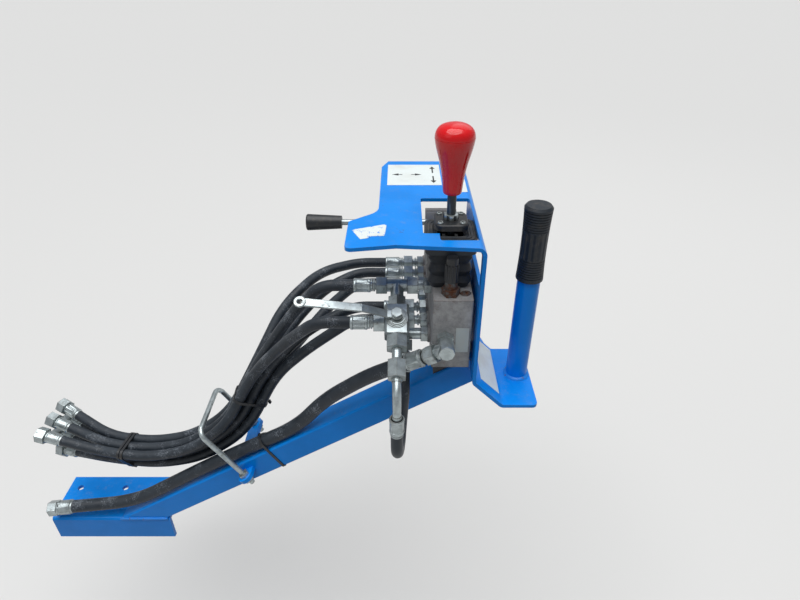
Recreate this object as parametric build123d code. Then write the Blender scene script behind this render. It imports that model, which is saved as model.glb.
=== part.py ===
from build123d import *
import math
import os

# Hydraulic control station on a welded support arm, all sizes in millimetres.
# X runs along the foot towards the station, Y away from the operator, Z up.
# Pieces are drawn with the joystick at Y 0, and are moved when they are written, so that
# the finished part's origin is the middle of the foot's bolt holes, on its underside.

# Foot that the arm is welded to
foot_length = 250.0
foot_front = -44.0
foot_back = 66.0
foot_plate = 8.0
foot_lip = 54.0
foot_hole_y = 36.0
foot_hole_radius = 6.5
foot_hole_spacing = 100.0
foot_hole_count = 3

# Square support arm
arm_size = 50.0
arm_wall = 4.0
arm_front = foot_front
arm_rise_deg = 31.4
arm_heel = 120.0

# Folded guard: top plate, side plate, slope and step plate in one bent sheet
guard_plate = 6.0
guard_front = -84.0
guard_top = 675.0
guard_left = 534.0
guard_back = 283.0
guard_neck = 580.0
tongue_back = 8.0
tongue_slope_back = 45.0
front_kink_x = 609.0
front_kink_set = 12.0
back_chamfer = 12.0
back_chamfer_run = 32.0
guard_corner = 9.0
neck_round = 34.0
slope_top = 421.0
step_top = 371.0
guard_right = 742.0
step_right = 853.0
step_back = 74.0
side_back = 150.0
window_left = 650.0
window_margin = 9.0
window_front = -34.0
window_step_x = 675.0
window_step_front = -57.0
window_back = 99.0
window_corner = 4.0
notch_front = -70.0
notch_back = 60.0
notch_bottom = 602.0
notch_top = 657.0
bend_radius = 7.0

# Hand post and its rubber grip
post_radius = 19.0
post_wall = 3.0
post_x = 829.0
post_y = 2.0
post_length = 328.0
grip_radius = 22.5
grip_waist = 20.8
grip_length = 130.0
grip_cap = 7.0
grip_groove = 1.2
grip_groove_pitch = 4.4
grip_rings = 8

# Valve bank
bank_left = 667.0
bank_width = 63.0
bank_front = -71.0
inlet_depth = 43.0
section_pitch = 42.0
section_count = 7
section_groove = 2.5
bank_bottom = 445.0
relief_inset = 28.0
relief_setback = 21.0
relief_cap_length = 42.0
relief_cap_radius = 10.5
relief_cap_taper = 1.5
relief_ribs = 12
relief_rib = 1.4
relief_rib_length = 30.0
bank_top = 577.0
cover_depth = 14.0
port_rise = 23.0
port_boss = 4.0
port_boss_radius = 15.5
plugged_port = 3
hose_ports = [1, 2, 4, 5, 6]

# Joystick on the bank
stick_x = 694.0
stick_y = 0.0
pivot_drop = 25.0
collar_size = 80.0
collar_drop = 11.0
collar_height = 24.0
boot_size = 70.0
boot_waist = 62.0
boot_folds = 3
boot_wall = 3.0
boot_corner = 12.0
swash_size = 52.0
swash_thick = 10.0
swash_drop = 1.0
stick_radius = 7.0
knob_rise = 51.0
knob_foot_edge = 1.5
yoke_ear = 5.0
yoke_gap = 15.0
trunnion_radius = 3.0
trunnion_clearance = 0.05
joint_play = 0.4

# Knob's outline from its foot to its crown: radius, height
KNOB_PROFILE = [
    (11.0, 2.0), (13.6, 15.0), (17.6, 36.0), (25.2, 57.0), (29.6, 71.0), (29.4, 86.0), (21.5, 99.5), (0.0, 105.0),
]

# Hose fittings: lengths along the fitting, and radii
hose_radius = 10.0
pressure_hose_radius = 13.0
hex_length = 12.0
neck_length = 10.0
nut_length = 18.0
nipple_length = 6.0
ferrule_length = 32.0
adapter_hex = 13.0
nut_hex = 14.0
neck_radius = 8.0
nipple_radius = 8.0
ferrule_wall = 2.0
ferrule_grooves = 3
ferrule_groove = 0.8

# Diverter valve hung from the tee, tilted towards the operator
tee_y = 10.0
tee_drop = 21.0
tee_branch = 26.0
tee_arm = 17.0
tee_radius = 11.0
diverter_tilt_deg = 28.0
valve_body_length = 52.0
valve_body_width = 40.0
valve_body_height = 32.0
outlet_hex = 22.0
outlet_neck = 20.0
outlet_nut = 30.0
gland_radius = 12.0
gland_height = 8.0
stem_radius = 5.0
stem_depth = 6.0
pipe_radius = 7.0
pipe_bend = 40.0
swan_y = -167.5
swan_bottom = 428.0

# Long handle of the diverter valve
handle_width = 13.0
handle_plate = 4.0
handle_rise = 20.0
handle_tip_rise = 20.0
handle_knee = 52.0
handle_reach = 148.0
handle_eye = 9.0
handle_boss = 10.0
handle_nut = 6.0

# Side lever with its black handle
lever_section = 2
lever_rise = 64.0
lever_radius = 5.0
lever_inset = 27.0
lever_reach = 178.0
lever_grip_length = 60.0
lever_grip_radius = 14.0
lever_grip_neck = 11.0
lever_boss_radius = 13.0
lever_hub = 12.0

# Hoop that keeps the hoses on the arm
hoop_station = 316.0
hoop_radius = 5.0
hoop_height = 140.0
hoop_lugs_height = (0.0, 12.0)
hoop_back = 70.0
hoop_bend = 18.0
hoop_front = -60.0
hoop_thread = 16.0
hoop_nut = 7.0
hoop_nut_across = 8.5
lug_plate = 8.0
lug_radius = 15.0

# Pressure elbow on the front casting and return elbow on the first port
pressure_inset = 21.0
pressure_rise = 60.0
elbow_radius = 11.5
elbow_leg_radius = 10.0
pressure_reach = 30.0
pressure_aim = Vector(-0.80, 0.25, -0.545).normalized()
pressure_leg = 19.0
return_reach = 45.0
return_aim = Vector(0, -0.70, -0.714).normalized()
return_leg = 12.0

# Hoses: share of a run that its bends take, and the bundle's centre line: x, y, z, spacing
run_share = 0.45
BUNDLE = [
    (358, 35, 350, 21.5),
    (295, 0, 240, 21.5),
    (205, -5, 175, 21.5),
    (110, 0, 150, 21.5),
    (10, 15, 150, 21.5),
    (-70, 40, 155, 36.0),
]

# Each hose's place in the bundle (steps back, steps up), its first run and its points before the bundle
HOSES = {
    "hose_a": ((1, 1), 56.0, [(452, 208, 468), (386, 132, 437)]),
    "hose_b": ((1, 0), 56.0, [(462, 168, 450), (402, 108, 405)]),
    "hose_c": ((1, -1), 56.0, [(474, 132, 432), (420, 88, 384)]),
    "hose_d": ((0, 1), 57.0, [(425, 25, 490)]),
    "hose_e": ((0, 0), 56.0, [(440, 55, 430)]),
    "hose_f": ((0, -1), 56.0, [(440, 35, 400)]),
    "hose_g": ((-1, 1), 57.0, [(415, -15, 455)]),
}

# First run and later points of the two single hoses after their elbows
pressure_run = 80.0
return_run = 35.0
PRESSURE_ROUTE = [
    (480, -40, 345), (420, -30, 266), (250, -30, 170), (60, -32, 50), (-70, -38, 40),
]
RETURN_ROUTE = [
    (618, -84, 340), (614, -125, 312), (610, -167.5, 340), (610, -167.5, 390),
]

# Ties
tie_thick = 2.0
tie_width = 5.0
tie_head = 8.0
tie_gap = 0.1
arm_tie_station = 372.0

# Ties on the bundle: run of the centre line, distance along it
BUNDLE_TIES = [(0, 66.0), (3, 46.0), (3, 53.0)]

# Values that follow from those above
arm_slope = math.tan(math.radians(arm_rise_deg))
arm_along = Vector(math.cos(math.radians(arm_rise_deg)), 0, math.sin(math.radians(arm_rise_deg)))
arm_normal = Vector(-arm_along.Z, 0, arm_along.X)
side_face = guard_right - guard_plate
slope_seam = guard_right + slope_top - guard_plate * math.sqrt(2)
bank_right = bank_left + bank_width
post_top = step_top + post_length
port_height = bank_bottom + port_rise
tee_height = bank_top - tee_drop
pivot_height = guard_top - pivot_drop
collar_top = guard_top - collar_drop
collar_bottom = collar_top - collar_height
swash_bottom = guard_top - swash_drop
knob_bottom = guard_top + knob_rise
lever_height = bank_top + lever_rise
lever_pivot_x = bank_left + lever_inset
pressure_x = bank_left + pressure_inset
pressure_height = bank_bottom + pressure_rise
return_x = bank_left - return_reach
sections_front = bank_front + inlet_depth
sections_back = sections_front + section_pitch * section_count
pivot = Vector(stick_x, stick_y, pivot_height)
arm_back = arm_front + arm_size
arm_mid = arm_front + arm_size / 2
arm_drop = arm_size / arm_along.X
end_length = nut_length + nipple_length + ferrule_length
tee_x = bank_left - hex_length - neck_length - nut_length - tee_arm
tee_centre = Vector(tee_x, tee_y, tee_height)
branch_aim = Vector(0, -math.cos(math.radians(diverter_tilt_deg)), -math.sin(math.radians(diverter_tilt_deg)))
stem_aim = Vector(0, branch_aim.Z, -branch_aim.Y)
valve_near = tee_branch + nut_length
valve_centre = tee_centre + branch_aim * (valve_near + valve_body_length / 2)
valve_side = valve_centre - Vector(valve_body_width / 2, 0, 0)
stem_foot = valve_centre + stem_aim * (valve_body_height / 2)
stem_seat = stem_foot + stem_aim * (gland_height - stem_depth)
outlet_end = valve_near + valve_body_length + outlet_hex + outlet_neck + outlet_nut + nipple_length
lever_y = sections_front + section_pitch * (lever_section + 0.5)
lever_pivot = Vector(lever_pivot_x, lever_y, lever_height)
pressure_corner = Vector(pressure_x, bank_front - pressure_reach, pressure_height)
return_corner = Vector(return_x, sections_front + section_pitch / 2, port_height)

LEFT = Vector(-1, 0, 0)
FORWARD = Vector(0, -1, 0)
DOWN = Vector(0, 0, -1)
UP = Vector(0, 0, 1)
BACK = Vector(0, 1, 0)
START = (Align.CENTER, Align.CENTER, Align.MIN)


def outline(corners):
    """Face from a table of corners: x, y, corner radius."""
    points = [(x, y) for x, y, _ in corners]
    radii = [radius for _, _, radius in corners]
    return make_face(FilletPolyline(*points, radius=radii, close=True).edges())


def slab(corners, bottom, top):
    """Level plate: outline seen from above, between two heights."""
    return extrude(Pos(0, 0, bottom) * outline(corners), amount=top - bottom)


def arm_middle(x):
    """Height of the arm's middle line."""
    return foot_plate + arm_drop / 2 + (x - arm_heel) * arm_slope


def profile(corners, front, back):
    """Bent sheet or wall: outline in X and Z, drawn from front to back."""
    return extrude(Plane.XZ.offset(-back) * outline(corners), amount=back - front)


def port(index):
    """Face of a section's port on the left of the bank."""
    return Vector(bank_left, sections_front + section_pitch * (index + 0.5), port_height)


def block(x0, x1, y0, y1, z0, z1):
    """Box between two corners."""
    middle = Pos((x0 + x1) / 2, (y0 + y1) / 2, (z0 + z1) / 2)
    return middle * Box(x1 - x0, y1 - y0, z1 - z0)


def station(origin, axis, distance):
    """Point at a distance along an axis."""
    return Vector(*origin) + Vector(*axis) * distance


def rod(origin, axis, length, radius):
    """Round bar from a point along an axis."""
    return Plane(origin=origin, z_dir=axis) * Cylinder(radius, length, align=START)


def hexagon(origin, axis, length, across):
    """Hexagon bar from a point along an axis; across is half the width over its flats."""
    face = RegularPolygon(across, 6, major_radius=False)
    return Plane(origin=origin, z_dir=axis) * extrude(face, amount=length)


def arc_radii(points):
    """Largest tangent arc at each inner point of a route."""
    radii = []
    for before, here, after in zip(points, points[1:], points[2:]):
        arrive = Vector(*here) - Vector(*before)
        leave = Vector(*after) - Vector(*here)
        turn = math.radians(arrive.get_angle(leave))
        radii.append(run_share * min(arrive.length, leave.length) / math.tan(turn / 2))
    return radii


def pipe(points, radii, radius):
    """Round pipe along straight runs joined by tangent arcs."""
    path = FilletPolyline(*points, radius=radii)
    ring = Plane(origin=path @ 0, z_dir=path % 0) * Circle(radius)
    return sweep(ring, path=path)


def adapter(origin, axis):
    """Screwed port adapter: hexagon and neck."""
    neck = rod(station(origin, axis, hex_length), axis, neck_length, neck_radius)
    return hexagon(origin, axis, hex_length, adapter_hex) + neck


def swivel(origin, axis):
    """Swivel nut and the nipple behind it."""
    nipple = rod(station(origin, axis, nut_length), axis, nipple_length, nipple_radius)
    return hexagon(origin, axis, nut_length, nut_hex) + nipple


def ferrule(origin, axis, radius):
    """Crimped ferrule on a hose of this radius, with pressed grooves."""
    outside = radius + ferrule_wall
    body = rod(origin, axis, ferrule_length, outside)
    pitch = ferrule_length / (ferrule_grooves + 1)
    for index in range(ferrule_grooves):
        place = station(origin, axis, pitch * (index + 0.75))
        ring = rod(place, axis, pitch / 2, outside)
        body -= ring - rod(place, axis, pitch / 2, outside - ferrule_groove)
    return body


def foot():
    """Folded foot: level plate with a lip over the chassis edge, and three bolt holes."""
    left, right = -foot_length / 2, foot_length / 2
    body = block(left, right, foot_front, foot_back, 0, foot_plate)
    body += block(left, right, foot_front, foot_front + foot_plate, -foot_lip, foot_plate)
    outer = body.edges().filter_by(Axis.X).sort_by(Axis.Y)[:2].sort_by(Axis.Z)[-1]
    body = fillet(outer, foot_plate - 1)
    for index in range(foot_hole_count):
        x = (index - (foot_hole_count - 1) / 2) * foot_hole_spacing
        body -= rod((x, foot_hole_y, -1), UP, foot_plate + 2, foot_hole_radius)
    return body


def arm_outline(inset):
    """Side view of the arm, its walls moved in by an inset."""
    drop = inset / arm_along.X
    heel_z = foot_plate + drop
    top_z = foot_plate + arm_drop - drop
    right = side_face
    low = (slope_seam - heel_z + arm_heel * arm_slope) / (1 + arm_slope)
    return [
        (arm_heel - drop / arm_slope, foot_plate, 0),
        (low, slope_seam - low, 0),
        (right, slope_seam - right, 0),
        (right, top_z + (right - arm_heel) * arm_slope, 0),
        (arm_heel - (arm_drop - drop) / arm_slope, foot_plate, 0),
    ]


def arm():
    """Square tube from the foot up to the guard."""
    outer = profile(arm_outline(0), arm_front, arm_back)
    long_edges = [edge for edge in outer.edges() if abs(edge.tangent_at(0.5).dot(arm_along)) > 0.99]
    outer = fillet(long_edges, arm_wall)
    inner = profile(arm_outline(arm_wall), arm_front + arm_wall, arm_back - arm_wall)
    return outer - inner


def guard_sheet():
    """Bent sheet seen from the front: top, side, slope and step."""
    step_left = guard_right + slope_top - step_top
    under_step = step_top - guard_plate
    outside = bend_radius + guard_plate
    return profile([
        (guard_left, guard_top, 0),
        (guard_right, guard_top, outside),
        (guard_right, slope_top, bend_radius),
        (step_left, step_top, bend_radius),
        (step_right, step_top, 0),
        (step_right, under_step, 0),
        (slope_seam - under_step, under_step, outside),
        (side_face, slope_seam - side_face, outside),
        (side_face, guard_top - guard_plate, bend_radius),
        (guard_left, guard_top - guard_plate, 0),
    ], guard_front, guard_back)


def top_plan():
    """Top plate seen from above: tongue at the left, neck behind it."""
    return [
        (guard_left, guard_front, guard_corner),
        (front_kink_x, guard_front + front_kink_set, 0),
        (guard_right + 1, guard_front, 0),
        (guard_right + 1, guard_back, 0),
        (guard_neck + back_chamfer, guard_back, 0),
        (guard_neck, guard_back - back_chamfer_run, 0),
        (guard_neck, tongue_slope_back, neck_round),
        (guard_left, tongue_back, guard_corner),
    ]


def side_plan():
    """Side plate, slope and step seen from the side, Y and Z."""
    return [
        (guard_front, step_top - guard_plate - 1, 0),
        (step_back, step_top - guard_plate - 1, 0),
        (step_back, step_top + 2 * bend_radius, 0),
        (side_back, slope_top + 2 * bend_radius, guard_corner),
        (side_back, collar_top, 0),
        (guard_front, collar_top, 0),
    ]


def guard():
    """Folded guard with the joystick window and the notch beside it."""
    sheet = guard_sheet()
    side_space = Plane.YZ.offset(guard_right - 2 * guard_plate) * outline(side_plan())
    body = sheet & slab(top_plan(), collar_top, guard_top + 1)
    body += sheet & extrude(side_space, amount=step_right)
    window_right = guard_right - window_margin
    body -= slab([
        (window_left, window_front, window_corner),
        (window_step_x, window_front, 0),
        (window_step_x, window_step_front, window_corner),
        (window_right, window_step_front, window_corner),
        (window_right, window_back, window_corner),
        (window_left, window_back, window_corner),
    ], collar_top, guard_top + 1)
    body -= block(side_face - 1, guard_right + 1, notch_front, notch_back, notch_bottom, notch_top)
    corners = body.edges().filter_by(Axis.Z).filter_by(lambda edge: edge.center().X > step_right - 1)
    return fillet(corners, guard_corner)


def hand_post():
    """Tube welded to the step plate."""
    tube = rod((post_x, post_y, step_top), UP, post_top - step_top, post_radius)
    return tube - rod((post_x, post_y, step_top), UP, post_top - step_top, post_radius - post_wall)


def grip():
    """Rubber grip with rings at both ends and a slight waist."""
    top = post_top + grip_cap
    bottom = top - grip_length
    middle = (top + bottom) / 2
    face = make_face([
        Polyline((0, bottom), (grip_radius, bottom), (grip_radius, bottom + 2)),
        ThreePointArc((grip_radius, bottom + 2), (grip_waist, middle), (grip_radius, top - 4)),
        Polyline((grip_radius, top - 4), (grip_radius - 3, top), (0, top), (0, bottom)),
    ])
    body = Pos(post_x, post_y) * revolve(Plane.XZ * face, Axis.Z)
    for index in range(grip_rings):
        for edge in (top - 8, bottom + 8 + (grip_rings - 1) * grip_groove_pitch):
            place = (post_x, post_y, edge - index * grip_groove_pitch)
            ring = rod(place, DOWN, grip_groove, grip_radius + 1)
            body -= ring - rod(place, DOWN, grip_groove, grip_radius - 2 * grip_groove)
    socket = rod((post_x, post_y, bottom), UP, grip_length - grip_cap, post_radius + trunnion_clearance)
    return body - socket


def bank_inlet():
    """Front casting of the valve bank, with the pressure port and a plug recess."""
    body = block(bank_left, bank_right, bank_front, sections_front, bank_bottom, bank_top)
    body = fillet(body.edges().filter_by(Axis.Z).group_by(Axis.Y)[0], section_groove)
    recess = (bank_right - hose_radius, sections_front - 2 * hose_radius, bank_top)
    return body - rod(recess, DOWN, section_groove * 2, neck_radius)


def bank_sections():
    """Stack of valve sections on a common core, with a spool cap under each."""
    groove = section_groove
    body = block(bank_left + groove, bank_right - groove, sections_front, sections_back,
                 bank_bottom + groove, bank_top - groove)
    for index in range(section_count):
        front = sections_front + section_pitch * index
        back = front + section_pitch - groove
        body += block(bank_left, bank_right, front, back, bank_bottom, bank_top)
        body += rod((bank_left, port(index).Y, port_height), LEFT, port_boss, port_boss_radius)
    return body


def bank_cover():
    """End plate behind the last section, with its tie rod nuts."""
    back = sections_back + cover_depth
    body = block(bank_left, bank_right, sections_back, back, bank_bottom, bank_top)
    for x in (bank_left + nut_hex, bank_right - nut_hex):
        for z in (bank_bottom + nut_hex, bank_top - nut_hex):
            body += hexagon((x, back, z), (0, 1, 0), nipple_length, neck_radius)
    return body


def bank_pad():
    """Wedge that carries the bank on the arm."""
    left, right = bank_left + nipple_length, bank_left + 2 * nut_length
    surface = [foot_plate + arm_drop + (x - arm_heel) * arm_slope for x in (left, right)]
    return profile([
        (left, surface[0], 0), (right, surface[1], 0), (right, bank_bottom, 0), (left, bank_bottom, 0),
    ], arm_front + arm_wall, arm_back - arm_wall)


def bank_spacers():
    """Spacers between the bank and the side plate, one for each bolt."""
    low, high = bank_bottom + nut_length, notch_bottom - 2 * nut_length
    spots = [(bank_front / 2, low), (side_back - nut_length, low), (side_back - nut_length, high)]
    gap = side_face - bank_right
    return [rod((bank_right, y, z), (1, 0, 0), gap, neck_radius) for y, z in spots]


def relief_valve():
    """Relief valve screwed into the top of the front casting."""
    place = (bank_left + relief_inset, bank_front + relief_setback, bank_top)
    body = hexagon(place, UP, hex_length, adapter_hex)
    return body + rod(place, UP, 2 * hex_length, elbow_leg_radius)


def relief_cap():
    """Black cap on the relief valve."""
    place = Pos(bank_left + relief_inset, bank_front + relief_setback, bank_top + 2 * hex_length)
    body = Cone(relief_cap_radius, relief_cap_radius - relief_cap_taper, relief_cap_length, align=START)
    rib = Cylinder(relief_rib, relief_rib_length, align=START)
    for index in range(relief_ribs):
        turn = Rot(0, 0, index * 360 / relief_ribs)
        body += turn * Pos(relief_cap_radius - relief_cap_taper / 2, 0, 0) * rib
    return place * fillet(body.edges().filter_by(GeomType.CIRCLE).sort_by(Axis.Z)[-1], relief_cap_taper)


def boot():
    """Square rubber bellows round the universal joint, open at the top under the guard."""
    fold = (collar_bottom - bank_top) / (2 * boot_folds)
    body = None
    for index in range(boot_folds):
        for step, sizes in enumerate(((boot_waist, boot_size), (boot_size, boot_waist))):
            bottom = bank_top + fold * (2 * index + step)
            levels = [
                Pos(stick_x, stick_y, bottom + fold * end) * RectangleRounded(size, size, boot_corner)
                for end, size in enumerate(sizes)
            ]
            ring = loft(levels, ruled=True)
            body = ring if body is None else body + ring
    collar = Pos(stick_x, stick_y, collar_bottom) * RectangleRounded(collar_size, collar_size, boot_corner)
    body += extrude(collar, amount=collar_top - collar_bottom)
    hole_size = boot_waist - 2 * boot_wall
    hole = Pos(stick_x, stick_y, bank_top) * RectangleRounded(hole_size, hole_size, boot_corner)
    return body - extrude(hole, amount=collar_top - bank_top)


def yoke(direction, bridge, reach):
    """Pair of ears on a round bridge: direction +1 stands up, -1 hangs down."""
    axis = Vector(0, 0, direction)
    far = yoke_gap / 2 + yoke_ear
    base = pivot - axis * (reach + 2)
    body = rod(base - axis * bridge, axis, bridge, far + 3)
    for side in (-1, 1):
        low, high = sorted((side * yoke_gap / 2, side * far))
        ends = sorted((base.Z, pivot.Z + direction * yoke_ear))
        if direction > 0:
            body += block(stick_x + low, stick_x + high, stick_y - yoke_ear, stick_y + yoke_ear, *ends)
        else:
            body += block(stick_x - yoke_ear, stick_x + yoke_ear, stick_y + low, stick_y + high, *ends)
    line = Vector(1, 0, 0) if direction > 0 else Vector(0, 1, 0)
    hole = rod(pivot - line * (far + 1), line, 2 * far + 2, trunnion_radius + trunnion_clearance)
    return body - hole


def joystick_mount():
    """Lower yoke, standing on the valve bank inside the boot."""
    reach = yoke_gap
    return yoke(1, pivot.Z - reach - 2 - bank_top, reach)


def joystick_cross():
    """Cross of the universal joint, with its four trunnions."""
    far = yoke_gap / 2 + yoke_ear
    half = yoke_gap / 2 - joint_play
    body = Pos(*pivot) * Box(2 * yoke_ear, 2 * yoke_ear, 2 * yoke_ear)
    for line in (Vector(1, 0, 0), Vector(0, 1, 0)):
        body += rod(pivot - line * far, line, 2 * far, trunnion_radius)
        body += rod(pivot - line * half, line, 2 * half, trunnion_radius + 1)
    return body


def stick():
    """Upper yoke, stick and lock nut in one piece."""
    reach = swash_bottom - nipple_length - pivot_height - 2
    body = yoke(-1, nipple_length, reach)
    top = knob_bottom + nut_length
    body += rod((stick_x, stick_y, swash_bottom - 1), UP, top - swash_bottom + 1, stick_radius)
    nut_place = (stick_x, stick_y, swash_bottom + swash_thick)
    return body + hexagon(nut_place, UP, hex_length - 4, stick_radius + 3.5)


def swash_plate():
    """Square plate under the lock nut."""
    base = Pos(stick_x, stick_y, swash_bottom) * RectangleRounded(swash_size, swash_size, boot_corner)
    body = extrude(base, amount=swash_thick)
    body = chamfer(body.faces().sort_by(Axis.Z)[-1].edges(), 1.5)
    return body - rod((stick_x, stick_y, swash_bottom), UP, swash_thick, stick_radius + trunnion_clearance)


def knob():
    """Pear-shaped knob, turned about the stick."""
    side = [(radius, knob_bottom + height) for radius, height in KNOB_PROFILE]
    foot_radius = side[0][0] - knob_foot_edge
    face = make_face([
        Line((0, knob_bottom), (foot_radius, knob_bottom)),
        Line((foot_radius, knob_bottom), side[0]),
        Spline(side, tangents=[(0, 1), (-1, 0)]),
        Line(side[-1], (0, knob_bottom)),
    ])
    body = Pos(stick_x, stick_y) * revolve(Plane.XZ * face, Axis.Z)
    return body - rod((stick_x, stick_y, knob_bottom), UP, nut_length, stick_radius + trunnion_clearance)


def port_adapters():
    """Adapters of the hoses' ports, and of the tee's port above them."""
    places = [port(index) + LEFT * port_boss for index in hose_ports]
    body = [adapter(place, LEFT) for place in places]
    return body + [adapter((bank_left, tee_y, tee_height), LEFT)]


def port_plug():
    """Plug in the section that has no hose."""
    place = port(plugged_port) + LEFT * port_boss
    return hexagon(place, LEFT, hex_length, nut_hex) + rod(place, LEFT, hex_length + 2, neck_radius)


def tee():
    """Tee on the bank: port nut, arms both ways and a branch towards the operator."""
    body = hexagon(tee_centre - LEFT * (tee_arm + nut_length), LEFT, nut_length, nut_hex)
    body += rod(tee_centre - LEFT * tee_arm, LEFT, 2 * tee_arm, tee_radius)
    body += rod(tee_centre, branch_aim, tee_branch, tee_radius)
    return body


def branch_plane(distance):
    """Plane across the tee's branch, X to the right and Y up through the valve's stem."""
    return Plane(origin=station(tee_centre, branch_aim, distance), x_dir=(1, 0, 0), z_dir=branch_aim)


def diverter_body():
    """Valve block behind its nut, with a gland for the stem."""
    nut = hexagon(branch_plane(tee_branch).origin, branch_aim, nut_length, nut_hex)
    space = branch_plane(valve_near)
    core = extrude(Rectangle(valve_body_width, valve_body_height), amount=valve_body_length)
    core = chamfer(core.edges().filter_by(Axis.Z), 4)
    gland = rod(stem_foot, stem_aim, gland_height, gland_radius)
    pocket = rod(stem_seat, stem_aim, stem_depth + 1, stem_radius + trunnion_clearance)
    return nut + space * core + gland - pocket


def diverter_outlet():
    """Hexagon, neck, nut and nipple in front of the valve."""
    place = branch_plane(valve_near + valve_body_length).origin
    body = hexagon(place, branch_aim, outlet_hex, nut_hex + 2)
    body += rod(station(place, branch_aim, outlet_hex), branch_aim, outlet_neck, neck_radius)
    nut = station(place, branch_aim, outlet_hex + outlet_neck)
    body += hexagon(nut, branch_aim, outlet_nut, nut_hex)
    return body + rod(station(nut, branch_aim, outlet_nut), branch_aim, nipple_length, nipple_radius)


def swan_pipe():
    """Bent steel pipe from the outlet down to the return hose."""
    reach = (tee_y - swan_y) / -branch_aim.Y
    corner = station(tee_centre, branch_aim, reach)
    points = [branch_plane(outlet_end).origin, corner, (tee_x, swan_y, swan_bottom)]
    nipple_foot = (tee_x, swan_y, RETURN_ROUTE[-1][2] + ferrule_length)
    return pipe(points, [pipe_bend], pipe_radius) + rod(nipple_foot, UP, nipple_length, nipple_radius)


def diverter_handle():
    """Stem, cranked flat handle and its nut, turning about the stem."""
    rise = gland_height + handle_nut / 2
    lift = rise + handle_rise
    tip = lift + handle_tip_rise
    flat = outline([
        (handle_eye, rise, 0),
        (-handle_width, rise, 0),
        (-handle_knee, lift, 0),
        (-handle_reach, tip, 0),
        (-handle_reach, tip + handle_plate, 0),
        (-handle_knee - 2, lift + handle_plate, 0),
        (-handle_width - 2, rise + handle_plate, 0),
        (handle_eye, rise + handle_plate, 0),
    ])
    space = Plane(origin=stem_foot, x_dir=(1, 0, 0), z_dir=branch_aim)
    body = space * Pos(0, 0, -handle_width / 2) * extrude(flat, amount=handle_width)
    eye = station(stem_foot, stem_aim, tip) + LEFT * handle_reach
    body += rod(eye, stem_aim, handle_plate, handle_eye)
    body += rod(station(stem_foot, stem_aim, rise), stem_aim, handle_plate, handle_boss)
    body -= rod(eye, stem_aim, handle_plate, handle_eye / 2)
    body += rod(stem_seat + stem_aim * joint_play, stem_aim, stem_depth + rise - gland_height + handle_plate,
                stem_radius)
    nut = station(stem_foot, stem_aim, rise + handle_plate)
    return body + hexagon(nut, stem_aim, handle_nut, stem_radius + 3)


def lever_bracket():
    """Post on the bank that the side lever turns on."""
    place = (lever_pivot_x, lever_y, bank_top)
    height = lever_height - lever_hub / 2 - joint_play - bank_top
    body = hexagon(place, UP, hex_length, nut_hex)
    body += rod(place, UP, height, lever_boss_radius - 4)
    pin_height = height + lever_hub + 2 * joint_play
    body += rod(place, UP, pin_height, stem_radius)
    return body + hexagon(station(place, UP, pin_height), UP, handle_nut, stem_radius + 2)


def side_lever():
    """Hub and bar of the side lever."""
    hub_foot = (lever_pivot_x, lever_y, lever_height - lever_hub / 2)
    body = rod(hub_foot, UP, lever_hub, lever_boss_radius)
    body += rod(lever_pivot, LEFT, lever_reach + lever_grip_length / 2, lever_radius)
    return body - rod(hub_foot, UP, lever_hub, stem_radius + trunnion_clearance)


def side_lever_grip():
    """Tapered black handle on the side lever."""
    place = station(lever_pivot, LEFT, lever_reach)
    space = Plane(origin=place, z_dir=LEFT)
    body = space * Cone(lever_grip_neck, lever_grip_radius, lever_grip_length, align=START)
    body = fillet(body.edges().filter_by(GeomType.CIRCLE).sort_by(Axis.X)[0], 3)
    return body - rod(place, LEFT, lever_grip_length / 2, lever_radius)


def pressure_elbow():
    """Elbow from the front casting down to the pressure hose."""
    face = (pressure_x, bank_front, pressure_height)
    body = hexagon(face, FORWARD, hex_length, adapter_hex)
    body += rod(face, FORWARD, pressure_reach, elbow_leg_radius)
    body += Pos(*pressure_corner) * Sphere(elbow_radius)
    return body + rod(pressure_corner, pressure_aim, pressure_leg, elbow_leg_radius)


def return_elbow():
    """Elbow from the first port down to the return hose."""
    face = port(0) + LEFT * port_boss
    body = hexagon(face, LEFT, hex_length, adapter_hex)
    body += rod(face, LEFT, face.X - return_x, elbow_leg_radius)
    body += Pos(*return_corner) * Sphere(elbow_radius)
    return body + rod(return_corner, return_aim, return_leg, elbow_leg_radius)


def hoop_point(y, height):
    """Point in the hoop's plane: across the arm, and up from the arm's middle."""
    return Vector(hoop_station, y, arm_middle(hoop_station)) + arm_normal * height


def hoop_ends():
    """Front and back leg of the hoop: across, height of the lug, side of the arm it is on."""
    return zip((hoop_front, hoop_back), hoop_lugs_height, (arm_front, arm_back))


def hoop():
    """Bent round bar over the hoses, threaded at both ends."""
    front_end, back_end = (height - hoop_thread for height in hoop_lugs_height)
    points = [
        hoop_point(hoop_front, front_end),
        hoop_point(hoop_front, hoop_height),
        hoop_point(hoop_back, hoop_height),
        hoop_point(hoop_back, back_end),
    ]
    return pipe(points, [hoop_bend, hoop_bend], hoop_radius)


def hoop_lugs():
    """Lugs welded to the arm's sides, each with a hole for the hoop."""
    body = []
    for y, height, side in hoop_ends():
        centre = hoop_point(y, height)
        space = Plane(origin=centre, x_dir=arm_along, z_dir=arm_normal)
        plate = Circle(lug_radius) + Pos(0, (side - y) / 2) * Rectangle(2 * lug_radius, abs(side - y))
        plate -= Circle(hoop_radius)
        body.append(space * extrude(plate, amount=lug_plate))
    return body


def hoop_nuts():
    """Nuts above and below each lug."""
    body = []
    for y, height, _ in hoop_ends():
        for level in (height - hoop_nut, height + lug_plate):
            place = hoop_point(y, level)
            nut = hexagon(place, arm_normal, hoop_nut, hoop_nut_across)
            body.append(nut - rod(place, arm_normal, hoop_nut, hoop_radius))
    return body


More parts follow.
